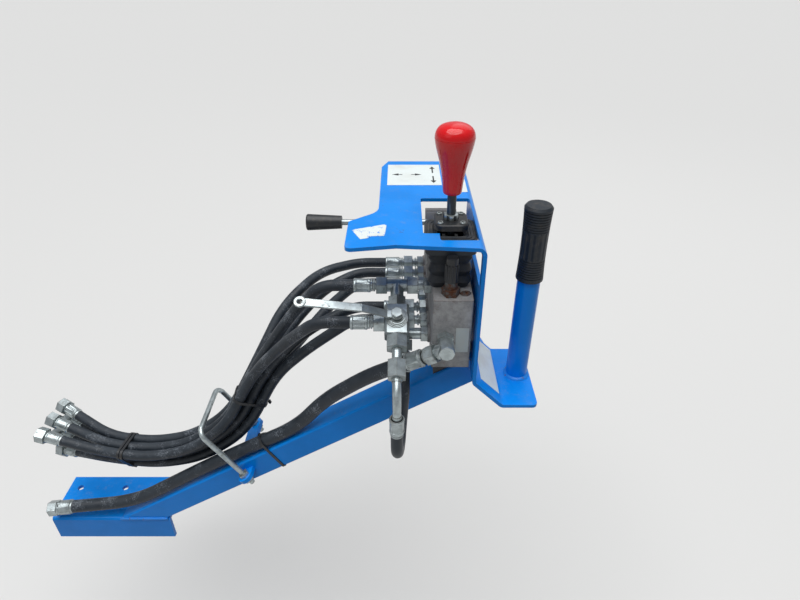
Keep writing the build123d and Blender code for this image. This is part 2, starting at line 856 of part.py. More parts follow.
def unit(before, after):
    """Direction from one point to the next."""
    return (Vector(*after) - Vector(*before)).normalized()


def bundle_point(index, slot):
    """A slot's point beside the centre line, square to the bend there."""
    across, up = slot
    centre = [Vector(x, y, z) for x, y, z, _ in BUNDLE]
    spacing = BUNDLE[index][3]
    ahead = min(index, len(centre) - 2)
    arrive = unit(centre[max(index - 1, 0)], centre[max(index, 1)])
    leave = unit(centre[ahead], centre[ahead + 1])
    half_turn = math.radians(arrive.get_angle(leave)) / 2
    square = BACK.cross((arrive + leave).normalized()).normalized()
    return centre[index] + BACK * across * spacing + square * (up * spacing / math.cos(half_turn))


def hose_routes():
    """Every hose's points, from its fitting on."""
    row_length = port_boss + hex_length + neck_length + nut_length + nipple_length + ferrule_length
    starts = {
        "hose_d": tee_centre + LEFT * (tee_arm + end_length),
        "hose_g": valve_side + LEFT * end_length,
    }
    rows = dict(zip(("hose_f", "hose_e", "hose_c", "hose_b", "hose_a"), hose_ports))
    for name, index in rows.items():
        starts[name] = port(index) + LEFT * row_length
    routes = {}
    for name, (slot, run, lead) in HOSES.items():
        bundle = [bundle_point(index, slot) for index in range(len(BUNDLE))]
        routes[name] = [starts[name], starts[name] + LEFT * run, *lead, *bundle]
    pressure_start = station(pressure_corner, pressure_aim, pressure_leg + end_length)
    return_start = station(return_corner, return_aim, return_leg + end_length)
    pressure_next = station(pressure_start, pressure_aim, pressure_run)
    return_next = station(return_start, return_aim, return_run)
    routes["hose_h"] = [pressure_start, pressure_next, *PRESSURE_ROUTE]
    routes["hose_return"] = [return_start, return_next, *RETURN_ROUTE]
    return routes


def hose_size(name):
    """Outside radius of a hose."""
    return pressure_hose_radius if name == "hose_h" else hose_radius


def hose(name):
    """Hose along its route."""
    points = ROUTES[name]
    return pipe(points, arc_radii(points), hose_size(name))


def fitted_ends():
    """Foot of each swivel nut at the hoses' first ends, and its axis."""
    step = port_boss + hex_length + neck_length
    ends = [(port(index) + LEFT * step, LEFT) for index in hose_ports]
    ends.append((tee_centre + LEFT * tee_arm, LEFT))
    ends.append((valve_side, LEFT))
    ends.append((station(pressure_corner, pressure_aim, pressure_leg), pressure_aim))
    ends.append((station(return_corner, return_aim, return_leg), return_aim))
    return ends


def hose_nuts():
    """Swivel nuts with their nipples."""
    return [swivel(place, axis) for place, axis in fitted_ends()]


def hose_ferrules():
    """Ferrules behind the swivel nuts, and the one under the bent pipe."""
    pieces = []
    for name, points in ROUTES.items():
        aim = unit(*points[:2])
        pieces.append(ferrule(points[0] - aim * ferrule_length, aim, hose_size(name)))
    pieces.append(ferrule(RETURN_ROUTE[-1], UP, hose_radius))
    return pieces


def free_ends():
    """Free end of each bundled hose and of the pressure hose, its direction and radius."""
    names = [*HOSES, "hose_h"]
    return [(ROUTES[name][-1], unit(*ROUTES[name][-2:]), hose_size(name)) for name in names]


def end_ferrules():
    """Ferrules on the free ends."""
    return [ferrule(place, axis, radius) for place, axis, radius in free_ends()]


def end_nuts():
    """Swivel nuts on the free ends, open at the front."""
    nuts = []
    for place, axis, _ in free_ends():
        foot_point = station(place, axis, ferrule_length)
        nut = hexagon(foot_point, axis, nut_length, nut_hex)
        mouth = rod(station(foot_point, axis, nipple_length), axis, nut_length, neck_radius + 2)
        nuts.append(nut - mouth)
    return nuts


def tie(space, shapes, head_x):
    """Band round the shapes in a plane, with its head on top."""
    hull = make_hull(ShapeList([edge for shape in shapes for edge in shape.edges()]))
    band = offset(hull, tie_thick) - hull
    top = hull.bounding_box().max.Y
    head = Pos(head_x, top + tie_thick / 2) * Rectangle(tie_head, tie_head / 2, align=(Align.CENTER, Align.MIN))
    return space * extrude(band + head, amount=tie_width)


def crossing(space, point, direction):
    """Where a straight run crosses a plane, in the plane's own X and Y."""
    distance = (space.origin - point).dot(space.z_dir) / direction.dot(space.z_dir)
    local = space.to_local_coords(point + direction * distance)
    return Pos(local.X, local.Y)


def ties():
    """Ties round the bundle and round the arm with its hose."""
    pieces = []
    for run, distance in BUNDLE_TIES:
        foot_point, next_point = (Vector(*BUNDLE[index][:3]) for index in (run, run + 1))
        aim = unit(foot_point, next_point)
        space = Plane(origin=foot_point + aim * distance, x_dir=aim.cross(UP).normalized(), z_dir=aim)
        runs = [ROUTES[name][run - len(BUNDLE):][:2] for name in HOSES]
        places = [crossing(space, points[0], unit(*points)) for points in runs]
        pieces.append(tie(space, [place * Circle(hose_radius + tie_gap) for place in places], 0))
    arm_point = Vector(arm_tie_station, arm_mid, arm_middle(arm_tie_station))
    space = Plane(origin=arm_point, x_dir=BACK, z_dir=arm_along)
    run = [Vector(*point) for point in PRESSURE_ROUTE[1:3]]
    place = crossing(space, run[0], unit(*run))
    shapes = [RectangleRounded(arm_size, arm_size, arm_wall), place * Circle(pressure_hose_radius + tie_gap)]
    pieces.append(tie(space, shapes, place.position.X))
    return pieces


ROUTES = hose_routes()

NODES = {
    "foot": foot,
    "arm": arm,
    "guard": guard,
    "hand_post": hand_post,
    "hand_grip": grip,
    "valve_inlet": bank_inlet,
    "valve_sections": bank_sections,
    "valve_end_cover": bank_cover,
    "bank_pad": bank_pad,
    "bank_spacers": bank_spacers,
    "relief_valve": relief_valve,
    "relief_cap": relief_cap,
    "boot": boot,
    "joystick_mount": joystick_mount,
    "joystick_cross": joystick_cross,
    "joystick_stick": stick,
    "swash_plate": swash_plate,
    "joystick_knob": knob,
    "port_adapters": port_adapters,
    "port_plug": port_plug,
    "tee": tee,
    "diverter_body": diverter_body,
    "diverter_outlet": diverter_outlet,
    "swan_pipe": swan_pipe,
    "diverter_handle": diverter_handle,
    "lever_bracket": lever_bracket,
    "side_lever": side_lever,
    "side_lever_grip": side_lever_grip,
    "pressure_elbow": pressure_elbow,
    "return_elbow": return_elbow,
    "hoop": hoop,
    "hoop_lugs": hoop_lugs,
    "hoop_nuts": hoop_nuts,
    "hose_nuts": hose_nuts,
    "hose_ferrules": hose_ferrules,
    "end_ferrules": end_ferrules,
    "end_nuts": end_nuts,
    "ties": ties,
}

os.makedirs("parts", exist_ok=True)
shift = Pos(0, -foot_hole_y, 0)
shapes = {name: make() for name, make in NODES.items()}
shapes.update((name, hose(name)) for name in ROUTES)
for name, shape in shapes.items():
    whole = Compound(shape) if isinstance(shape, list) else shape
    export_step(shift * whole, f"parts/{name}.step")
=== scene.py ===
import math

import bmesh
import bpy
from bpy.props import FloatProperty, FloatVectorProperty, IntProperty, PointerProperty
from mathutils import Matrix, Vector


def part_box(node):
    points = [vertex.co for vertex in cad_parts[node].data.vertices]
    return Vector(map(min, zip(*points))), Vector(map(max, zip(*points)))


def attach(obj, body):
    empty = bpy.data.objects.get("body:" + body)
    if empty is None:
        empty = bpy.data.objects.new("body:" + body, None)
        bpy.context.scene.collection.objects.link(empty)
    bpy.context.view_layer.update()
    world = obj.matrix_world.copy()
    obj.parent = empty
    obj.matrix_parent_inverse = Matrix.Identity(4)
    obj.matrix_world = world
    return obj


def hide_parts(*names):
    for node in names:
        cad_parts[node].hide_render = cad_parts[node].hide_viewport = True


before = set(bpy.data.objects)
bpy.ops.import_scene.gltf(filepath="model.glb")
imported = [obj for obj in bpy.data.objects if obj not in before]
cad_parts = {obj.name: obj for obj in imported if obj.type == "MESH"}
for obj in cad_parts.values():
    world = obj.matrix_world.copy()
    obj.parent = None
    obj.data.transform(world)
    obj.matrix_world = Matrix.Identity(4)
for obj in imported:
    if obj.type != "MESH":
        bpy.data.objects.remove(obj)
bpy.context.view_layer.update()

bl_info = {
    "name": "Hydraulic Control Station",
    "version": (1, 0, 0),
    "blender": (4, 5, 0),
    "location": "3D View > Sidebar > Station",
    "description": "Finishes and details a hydraulic control station on its support arm",
    "category": "Object",
}

# Which nodes take which finish
PAINTED = ("foot", "arm", "guard", "hand_post", "hoop_lugs")
CASTINGS = ("valve_inlet", "valve_sections", "valve_end_cover")
PLATED = (
    "diverter_body", "diverter_outlet", "diverter_handle", "port_adapters", "port_plug", "tee",
    "swan_pipe", "pressure_elbow", "return_elbow", "lever_bracket", "side_lever", "hoop", "hoop_nuts",
    "hose_nuts", "end_nuts",
)
HOSES = (
    "hose_a", "hose_b", "hose_c", "hose_d", "hose_e", "hose_f", "hose_g", "hose_h", "hose_return",
)

# Vertices nearer than this are one
MERGE = 1e-6

# Depth to which the turned heads and plugs sink into what carries them
SUNK = 0.0003

# Steps round turned pieces, from the smallest to the largest
SCREW_STEPS = 32
SMALL_STEPS = 40
FINE_STEPS = 64
KNOB_STEPS = 96

# How far ink and sheets stand off what carries them, so that no two faces lie in one plane
INK = 0.0001

# Camera: place, how far it looks down, focal length and sensor width in millimetres
CAMERA_PLACE = (0.615, -0.857, 1.066)
CAMERA_PITCH_DEG = 33.0
CAMERA_LENS = 26.0
CAMERA_SENSOR = 36.0

# World: colour, light on the object, and what it shows beyond that to each kind of ray
SKY_COLOUR = (0.93, 0.95, 1.0, 1.0)
SKY_LIGHT = 0.19
SKY_SHOWN = (("Is Camera Ray", 0.55), ("Is Transmission Ray", 0.23), ("Is Glossy Ray", 0.23))

# Floor: its height, middle, half width, and the greys that it lights with and shows
GROUND = -0.434
FLOOR_MIDDLE = (0.4, 2.0)
FLOOR_REACH = 30.0
FLOOR_LIGHT = (0.20, 0.20, 0.20)
FLOOR_SHOWN = (0.66, 0.66, 0.65)

# What the lamps aim at, and each lamp's kind, place, power and size or spread
LOOK_AT = Vector((0.55, 0.0, 0.45))
LAMPS = (
    ("Sky lamp", "SUN", (0.35, -0.25, 3.4), 3.0, 1.1),
    ("Key lamp", "AREA", (-1.2, -1.5, 2.6), 6.0, 2.0),
    ("Back lamp", "AREA", (1.8, 2.4, 2.8), 10.0, 2.4),
)

# Corners of the stickers and the strip on the top plate (x, y), on the slope (x, y, z), of the tag (x, z)
TOP_STICKERS = (
    ("long_sticker", ((0.592, 0.122), (0.690, 0.122), (0.690, 0.226), (0.592, 0.226))),
    ("side_sticker", ((0.694, 0.090), (0.733, 0.090), (0.733, 0.226), (0.694, 0.226))),
    ("tongue_sticker", (
        (0.541, -0.059), (0.556, -0.090), (0.566, -0.087), (0.572, -0.080), (0.592, -0.079),
        (0.594, -0.043), (0.590, -0.040),
    )),
)
SLOPE_STICKER = (
    (0.7547, -0.094, 0.4085), (0.7893, -0.094, 0.3739), (0.7893, 0.030, 0.3739), (0.7547, 0.030, 0.4085),
)
WARM_STRIP = ((0.694, 0.090), (0.699, 0.090), (0.699, 0.135), (0.694, 0.135))
TAG = ((0.705, 0.477), (0.726, 0.477), (0.726, 0.525), (0.705, 0.525))

# Lines that the arrow pairs lie on (x, y), and in bar widths a head's length and half a pair's gap
ARROWS = (
    ((0.600, 0.174), (0.655, 0.174)),
    ((0.676, 0.132), (0.676, 0.216)),
    ((0.718, 0.135), (0.718, 0.205)),
)
ARROW_HEAD = 4.5
ARROW_GAP = 3.0

# Flutes round the hand grip, their distance from its foot and head, and the height over which they fade
GRIP_FLUTES = 14.0
GRIP_FOOT = 0.040
GRIP_HEAD = 0.044
GRIP_FADE = 0.003

# Level of noise up to which a sound and a torn sticker keep their film
FILM_KEPT = 0.68
TORN_KEPT = 0.58

# Bolts through the guard's side (y, z), and the side's distance from the hand post
GUARD_BOLTS = ((-0.0715, 0.463), (0.096, 0.463), (0.096, 0.566))
SIDE_TO_POST = 0.068

# Washer's radius as a share of its bolt's width, and the roundings of washer, bolt and other prisms
WASHER_SHARE = 0.68
WASHER_BEVEL = 0.0003
BOLT_BEVEL = 0.0008
PRISM_BEVEL = 0.0006

# Runs of weld along the foot's and the arm's joints
WELD_RUNS = (
    ((0.024, -0.080, 0.008), (0.119, -0.080, 0.008)),
    ((0.024, -0.030, 0.008), (0.119, -0.030, 0.008)),
    ((0.735, -0.080, 0.442), (0.735, -0.030, 0.442)),
    ((0.735, -0.080, 0.442), (0.735, -0.080, 0.424), (0.7700, -0.080, 0.3862)),
)

# Ferrules: foot, direction and hose radius, first those at the fittings, then those at the free ends
FITTED_FERRULES = (
    ((0.617, 0.209, 0.468), (-1, 0, 0), 0.010),
    ((0.617, 0.167, 0.468), (-1, 0, 0), 0.010),
    ((0.617, 0.125, 0.468), (-1, 0, 0), 0.010),
    ((0.569, -0.026, 0.556), (-1, 0, 0), 0.010),
    ((0.617, 0.041, 0.468), (-1, 0, 0), 0.010),
    ((0.617, -0.001, 0.468), (-1, 0, 0), 0.010),
    ((0.566, -0.0878, 0.5231), (-1, 0, 0), 0.010),
    ((0.6536, -0.1262, 0.4816), (-0.8002, 0.2501, -0.5451), 0.013),
    ((0.622, -0.0682, 0.4423), (0, -0.7, -0.7141), 0.010),
    ((0.610, -0.2035, 0.390), (0, 0, 1), 0.010),
)
END_FERRULES = (
    ((-0.0678, 0.040, 0.1909), (-0.8721, 0.4393, 0.2154), 0.010),
    ((-0.0700, 0.040, 0.1550), (-0.8953, 0.4420, 0.0560), 0.010),
    ((-0.0722, 0.040, 0.1191), (-0.8953, 0.4335, -0.1028), 0.010),
    ((-0.0678, 0.004, 0.1909), (-0.9274, 0.2957, 0.2290), 0.010),
    ((-0.0700, 0.004, 0.1550), (-0.9528, 0.2977, 0.0595), 0.010),
    ((-0.0722, 0.004, 0.1191), (-0.9504, 0.2912, -0.1091), 0.010),
    ((-0.0678, -0.032, 0.1909), (-0.9627, 0.1289, 0.2378), 0.010),
    ((-0.0700, -0.074, 0.0400), (-0.9960, -0.0460, -0.0766), 0.013),
)

# Crimp: distances of the pressed flats from a ferrule's ends, and the cosine that parts ribs from flats
CRIMP_START = 0.008
CRIMP_STOP = 0.0045
CRIMP_SHARE = 0.2

# Rows of the port adapters that carry a hose (y), and the place of their collars (x, z)
ADAPTER_ROWS = (-0.001, 0.041, 0.125, 0.167, 0.209)
ADAPTER_COLLAR = (0.6475, 0.468)

# Screwed plug: radius and height pairs, and the place of the one in the top of the inlet (x, y)
INLET_PLUG = (
    (0.0, 0.0006), (0.0030, 0.0006), (0.0032, 0.0018), (0.0068, 0.0018), (0.0076, 0.0011),
    (0.0080, -SUNK), (0.0, -SUNK),
)
PLUG_PLACE = (0.718, -0.086)

# Forged elbow at the pressure port: its rounding, and each prism's sides, radius, foot, aim and length
ELBOW_BEVEL = 0.0014
ELBOW = (
    (6, 0.0150, (0.688, -0.107, 0.505), (0, -1, 0), 0.010),
    (8, 0.0134, (0.688, -0.117, 0.505), (0, -1, 0), 0.0325),
    (8, 0.0125, (0.688, -0.137, 0.505), (-0.8002, 0.2501, -0.5451), 0.0175),
)

# Rows of the plugs in the bank's top and underside (y), and their place along x
TOP_PLUG_ROWS = (0.083, 0.125, 0.167, 0.209)
LOW_PLUG_ROWS = (-0.001, 0.041, 0.083, 0.125, 0.167, 0.209)
PLUG_COLUMN = 0.698

# How far a fitting's collar lies behind its ferrule's foot
COLLAR_BACK = 0.0025

# Ring faces turned further from the stem than this cosine are painted darker, for dirt and for shade in
# the grooves
RING_FLATNESS = 0.6

# Foot and direction of the diverter valve's stem, and the rings round it: radius, height
STEM = ((0.610, -0.0953, 0.5373), (0.0, -0.4695, 0.8829))
GLAND_RINGS = (
    (0.0118, 0.0), (0.0178, 0.0), (0.0182, 0.0008), (0.0178, 0.0019), (0.0160, 0.0021), (0.0164, 0.0029),
    (0.0160, 0.0040), (0.0142, 0.0042), (0.0146, 0.0050), (0.0142, 0.0061), (0.0118, 0.0063),
)

# Knob's outline from its foot to its crown, with the parting line at its widest: radius, height
KNOB = (
    (0.0, 0.0), (0.0120, 0.0), (0.0136, 0.0006), (0.0144, 0.0022), (0.0147, 0.005), (0.0151, 0.010),
    (0.0158, 0.017), (0.0168, 0.025), (0.0181, 0.033), (0.0197, 0.041), (0.0215, 0.049), (0.0234, 0.056),
    (0.0253, 0.063), (0.0271, 0.070), (0.0285, 0.0765), (0.0294, 0.082), (0.0296, 0.0848),
    (0.0291, 0.0851), (0.0291, 0.0857), (0.0296, 0.0860), (0.0293, 0.0890), (0.0284, 0.0925),
    (0.0267, 0.0958), (0.0242, 0.0988), (0.0208, 0.1012), (0.0165, 0.1031), (0.0115, 0.1042),
    (0.0060, 0.1048), (0.0, 0.105),
)

# Rubber round the joystick: half widths and heights of its skirts and of its two ridges
BOOT_SKIRT = (
    (0.0283, 0.6632), (0.0270, 0.6650), (0.0256, 0.6634), (0.0242, 0.6648), (0.0228, 0.6630),
    (0.0204, 0.6626), (0.0203, 0.6616), (0.0225, 0.6612), (0.0256, 0.6608), (0.0283, 0.6612),
)
SWASH_SKIRT = ((0.0170, 0.6742), (0.0169, 0.6712), (0.0164, 0.6705), (0.0156, 0.6705), (0.0156, 0.6742))
BOOT_RIDGES = (
    ((0.0300, 0.6636), (0.0306, 0.6654), (0.0320, 0.6656), (0.0328, 0.6636)),
    ((0.0350, 0.6636), (0.0356, 0.6652), (0.0370, 0.6654), (0.0378, 0.6636)),
)


def colour(default, name, description):
    """Colour property with a plain default."""
    return FloatVectorProperty(
        name=name, description=description, subtype="COLOR", size=3, min=0, max=1, default=default
    )


def share(default, name, description):
    """Property from 0 to 1."""
    return FloatProperty(
        name=name, description=description, subtype="FACTOR", min=0, max=1, default=default
    )


def length(default, name, description):
    """Length property in metres."""
    return FloatProperty(name=name, description=description, unit="LENGTH", min=0, default=default)


class StationFinish(bpy.types.PropertyGroup):
    """Colours and wear of the finishes"""

    paint: colour((0.0, 0.235, 0.78), "Paint", "Colour of the painted steel")
    rust: colour((0.16, 0.055, 0.022), "Rust", "Colour of rust where the paint has gone")
    dust: colour((0.42, 0.34, 0.24), "Dust", "Colour of the dust on upward faces")
    # Blue-grey of the hoses' upper sides: dust, and a painted sheen of the sky
    hose_dust_and_sheen: colour((0.105, 0.125, 0.145), "Hose dust", "Colour of the dust on the hoses")
    casting: colour((0.33, 0.335, 0.34), "Casting", "Colour of the cast valve bank")
    plating: colour((0.47, 0.53, 0.54), "Plating", "Colour of the zinc plating")
    rubber: colour((0.014, 0.020, 0.028), "Rubber", "Colour of hoses, boot and grip")
    plastic: colour((0.012, 0.014, 0.017), "Plastic", "Colour of the black plastic pieces")
    knob: colour((0.76, 0.002, 0.006), "Knob", "Colour of the joystick's knob")
    sticker: colour((0.76, 0.83, 0.82), "Sticker", "Colour of the blank stickers")
    strip: colour((0.85, 0.30, 0.02), "Strip", "Colour of the strip on the side sticker")
    paint_wear: share(0.2, "Paint wear", "How much of the paint has chipped at the edges")
    dust_amount: share(0.2, "Dust amount", "How dusty the upward faces are")


class StationSizes(bpy.types.PropertyGroup):
    """Sizes of the added details"""

    screw_across: length(0.009, "Screw width", "Width of the swash plate's screw heads")
    screw_height: length(0.0022, "Screw height", "Height of the swash plate's screw heads")
    screw_spread: length(0.0170, "Screw spread", "Distance of a screw from the stick, along both edges")
    nut_across: length(0.0248, "Nut width", "Width across the corners of the nut on the stick")
    nut_height: length(0.0082, "Nut height", "Height of the nut on the stick")
    bolt_across: length(0.017, "Bolt width", "Width across the flats of the guard's bolt heads")
    bolt_height: length(0.0075, "Bolt height", "Height of the guard's bolt heads")
    washer_height: length(0.0016, "Washer height", "Thickness of the washers under the bolt heads")
    weld_reach: length(0.0045, "Weld reach", "How far a weld bead stands out from its joint")
    sticker_thick: length(0.0004, "Sticker thickness", "How far the stickers stand off the paint")
    arrow_width: length(0.0027, "Arrow width", "Width of an arrow's bar")
    ferrule_length: length(0.032, "Ferrule length", "Length of a hose ferrule")
    ferrule_wall: length(0.002, "Ferrule wall", "How far a ferrule stands round its hose")
    crimp_depth: length(0.0009, "Crimp depth", "How deep the ferrules are pressed between their ribs")
    crimp_ribs: IntProperty(name="Crimp ribs", description="Ribs left round a ferrule", min=3, default=8)
    plug_across: length(0.0190, "Plug width", "Width across the corners of the plugs under the bank")
    plug_height: length(0.0060, "Plug height", "Height of the plugs under the bank")
    collar_radius: length(0.0106, "Collar radius", "Outside radius of the collars on the fittings")
    collar_width: length(0.003, "Collar width", "Width of the collars on the fittings")


class NodeSheet:
    """Short way to lay out one material's nodes."""

    def __init__(self, name):
        self.material = bpy.data.materials.get(name) or bpy.data.materials.new(name)
        self.material.use_nodes = True
        self.tree = self.material.node_tree
        for node in list(self.tree.nodes):
            if node.type not in ("BSDF_PRINCIPLED", "OUTPUT_MATERIAL"):
                self.tree.nodes.remove(node)
        self.shader = self.tree.nodes["Principled BSDF"]
        self.place = self.add("ShaderNodeTexCoord").outputs["Object"]

    def add(self, kind, inputs=None, **settings):
        """Node with its settings, and its inputs set or linked."""
        node = self.tree.nodes.new(kind)
        for key, value in settings.items():
            setattr(node, key, value)
        for key, value in (inputs or {}).items():
            self.feed(node.inputs[key], value)
        return node

    def feed(self, socket, value):
        """Link an output to a socket, or set its value."""
        if isinstance(value, bpy.types.NodeSocket):
            self.tree.links.new(value, socket)
        elif socket.type == "RGBA" and len(value) == 3:
            socket.default_value = (*value, 1)
        else:
            socket.default_value = value

    def noise(self, scale, detail=4.0, roughness=0.55, place=None):
        """Noise over the piece, its scale in waves per metre."""
        node = self.add("ShaderNodeTexNoise", {
            "Vector": place or self.place, "Scale": scale, "Detail": detail, "Roughness": roughness,
        })
        return node.outputs["Fac"]

    def ramp(self, factor, low, high, start=0.0, end=1.0):
        """Smooth step of a factor between two levels."""
        node = self.add("ShaderNodeMapRange", {
            "Value": factor, "From Min": low, "From Max": high, "To Min": start, "To Max": end,
        }, interpolation_type="SMOOTHSTEP")
        return node.outputs["Result"]

    def math(self, operation, first, second=0.0):
        """One operation on two factors."""
        node = self.add("ShaderNodeMath", {0: first, 1: second}, operation=operation)
        return node.outputs[0]

    def times(self, first, second):
        """Product of two factors."""
        return self.math("MULTIPLY", first, second)

    def mix(self, factor, first, second):
        """Mix of two colours."""
        node = self.add("ShaderNodeMix", data_type="RGBA")
        self.feed(node.inputs["Factor"], factor)
        self.feed(node.inputs[6], first)
        self.feed(node.inputs[7], second)
        return node.outputs[2]

    def stretched(self, scale):
        """Object coordinates with their own scale along each axis."""
        node = self.add("ShaderNodeMapping", {"Vector": self.place, "Scale": scale})
        return node.outputs["Vector"]

    def streaks(self, scale, detail=3.0, roughness=0.6):
        """Noise with its own scale along each axis."""
        return self.noise(1.0, detail, roughness, self.stretched(scale))

    def upward(self, low=0.3, high=0.95):
        """Share that a face looks up."""
        normal = self.add("ShaderNodeNewGeometry").outputs["Normal"]
        return self.ramp(self.add("ShaderNodeSeparateXYZ", {0: normal}).outputs["Z"], low, high)

    def edges(self, radius):
        """Share that a point lies near an edge."""
        rounded = self.add("ShaderNodeBevel", {"Radius": radius}, samples=6).outputs["Normal"]
        normal = self.add("ShaderNodeNewGeometry").outputs["Normal"]
        dot = self.add("ShaderNodeVectorMath", {0: rounded, 1: normal}, operation="DOT_PRODUCT")
        return self.math("SUBTRACT", 1.0, dot.outputs["Value"])

    def bump(self, height, distance, strength=0.5):
        """Bump on the shader from a height."""
        node = self.add("ShaderNodeBump", {"Height": height, "Distance": distance, "Strength": strength})
        self.tree.links.new(node.outputs["Normal"], self.shader.inputs["Normal"])

    def finish(self, **inputs):
        """Set the shader's sockets, with spaces in their names written as underscores."""
        for key, value in inputs.items():
            self.feed(self.shader.inputs[key.replace("_", " ")], value)
        return self.material


def toned(tint, factor, lift=0.0):
    """Colour made darker or paler."""
    return [min(1.0, part * factor + lift) for part in tint]


def painted_steel(finish):
    """Glossy paint with chips along its edges, fine scratches, and dust on top."""
    sheet = NodeSheet("Painted steel")
    cloud = sheet.noise(9.0, 6.0)
    faded = sheet.mix(sheet.ramp(cloud, 0.35, 0.7), finish.paint, toned(finish.paint, 1.15, 0.004))
    chips = sheet.times(sheet.edges(0.0022), sheet.ramp(sheet.noise(70.0, 6.0, 0.7), 0.42, 0.62))
    chipped = sheet.ramp(chips, 0.05, 0.12, 0.0, 2 * finish.paint_wear)
    spots = sheet.ramp(sheet.noise(38.0, 8.0, 0.75), 0.665, 0.70, 0.0, 2 * finish.paint_wear)
    worn = sheet.math("MAXIMUM", chipped, spots)
    rust = sheet.mix(sheet.noise(160.0, 5.0), finish.rust, toned(finish.rust, 0.35))
    scratched = sheet.ramp(sheet.streaks((40, 420, 300)), 0.70, 0.74, 0.0, 0.35)
    base = sheet.mix(scratched, faded, toned(finish.paint, 1.3, 0.05))
    base = sheet.mix(worn, base, rust)
    grime = sheet.times(sheet.upward(), sheet.ramp(sheet.noise(60.0, 9.0, 0.75), 0.50, 0.78))
    dusty = sheet.times(grime, finish.dust_amount)
    base = sheet.mix(dusty, base, finish.dust)
    rough = sheet.ramp(sheet.math("MAXIMUM", dusty, worn), 0.0, 0.6, 0.3, 0.85)
    sheet.bump(sheet.math("SUBTRACT", sheet.noise(220.0, 2.0), sheet.times(worn, 0.8)), 0.0003, 0.35)
    return sheet.finish(Base_Color=base, Roughness=rough, Specular_IOR_Level=0.22)


def rough_casting(finish):
    """Sand-cast iron, brown with oil and dust."""
    sheet = NodeSheet("Rough casting")
    mottle = sheet.ramp(sheet.noise(42.0, 10.0, 0.75), 0.32, 0.70)
    mottled = sheet.mix(mottle, toned(finish.casting, 0.75), toned(finish.casting, 1.35))
    patches = sheet.ramp(sheet.noise(70.0, 8.0, 0.72), 0.55, 0.72, 0.0, 0.45)
    rusty = sheet.mix(patches, mottled, finish.rust)
    lined = sheet.ramp(sheet.edges(0.0025), 0.03, 0.2, 0.0, 0.6)
    rusty = sheet.mix(lined, rusty, toned(finish.rust, 0.5))
    dusty = sheet.times(sheet.upward(), 0.8 * finish.dust_amount)
    base = sheet.mix(dusty, rusty, finish.dust)
    sheet.bump(sheet.noise(420.0, 5.0, 0.7), 0.0006, 0.6)
    return sheet.finish(Base_Color=base, Roughness=0.72, Metallic=0.25)


def zinc_plated(finish):
    """Zinc-plated steel gone dull, with brown grime in small patches."""
    sheet = NodeSheet("Zinc plated")
    cloud = sheet.ramp(sheet.noise(70.0, 6.0), 0.35, 0.68)
    tone = sheet.mix(cloud, toned(finish.plating, 0.7), finish.plating)
    lined = sheet.ramp(sheet.edges(0.0020), 0.02, 0.14, 0.0, 0.8)
    grime = sheet.math("MAXIMUM", lined, sheet.ramp(sheet.noise(120.0, 7.0, 0.72), 0.54, 0.70, 0.0, 0.6))
    base = sheet.mix(grime, tone, toned(finish.dust, 0.25))
    metal = sheet.ramp(grime, 0.0, 0.6, 0.8, 0.35)
    rough = sheet.ramp(grime, 0.0, 0.6, 0.30, 0.75)
    sheet.bump(sheet.noise(600.0, 3.0), 0.00015, 0.3)
    return sheet.finish(Base_Color=base, Metallic=metal, Roughness=rough)


def zinc_grime_and_shade(finish):
    """Zinc plating darkened by dirt and by painted shade, for pressed flats and ring grooves."""
    sheet = NodeSheet("Zinc grime and shade")
    dirt = sheet.ramp(sheet.noise(160.0, 6.0, 0.7), 0.35, 0.65)
    # Both tones are far darker than the plating: dirt, and painted shade in the recesses
    base = sheet.mix(dirt, toned(finish.plating, 0.32), toned(finish.dust, 0.16))
    sheet.bump(sheet.noise(700.0, 3.0), 0.0002, 0.4)
    return sheet.finish(Base_Color=base, Metallic=0.35, Roughness=0.6)


def rusty_steel(finish):
    """Bare steel of the relief valve's foot, brown with rust."""
    sheet = NodeSheet("Rusty steel")
    patch = sheet.ramp(sheet.noise(95.0, 7.0, 0.72), 0.38, 0.62)
    base = sheet.mix(patch, toned(finish.rust, 0.7), toned(finish.plating, 0.22))
    sheet.bump(sheet.noise(520.0, 5.0, 0.7), 0.0004, 0.6)
    return sheet.finish(Base_Color=base, Roughness=sheet.ramp(patch, 0.0, 1.0, 0.85, 0.5), Metallic=0.3)


def blackened_steel(finish):
    """Oiled dark steel of the stick, worn bright in streaks."""
    sheet = NodeSheet("Blackened steel")
    streaks = sheet.ramp(sheet.streaks((380, 380, 45), 4.0), 0.50, 0.72, 0.0, 0.6)
    base = sheet.mix(streaks, toned(finish.plating, 0.09), toned(finish.plating, 0.4))
    sheet.bump(sheet.noise(700.0, 3.0), 0.0001, 0.3)
    return sheet.finish(Base_Color=base, Metallic=0.6, Roughness=0.42)


def hose_rubber(finish):
    """Black rubber cover, with dust and a painted blue-grey sky sheen on its upper side, and pale scuffs.
    """
    sheet = NodeSheet("Hose rubber")
    patch = sheet.ramp(sheet.noise(30.0, 8.0, 0.72), 0.38, 0.72)
    # Upper sides take more of the blue-grey: dust, and painted sky sheen
    upper_dust_and_sheen = sheet.math("ADD", sheet.times(sheet.upward(-0.2, 1.0), 0.75), 0.08)
    dusty = sheet.times(upper_dust_and_sheen, patch)
    dust_and_sheen_veil = sheet.times(dusty, 1.7 * finish.dust_amount)
    base = sheet.mix(dust_and_sheen_veil, finish.rubber, finish.hose_dust_and_sheen)
    specks = sheet.times(sheet.noise(420.0, 4.0, 0.8), sheet.noise(26.0, 5.0, 0.6))
    base = sheet.mix(sheet.ramp(specks, 0.29, 0.37, 0.0, 0.75), base, toned(finish.rubber, 4.0, 0.12))
    rough = sheet.ramp(dusty, 0.0, 0.8, 0.46, 0.85)
    sheet.bump(sheet.noise(900.0, 2.0), 0.0002, 0.4)
    return sheet.finish(Base_Color=base, Roughness=rough, Specular_IOR_Level=0.4)


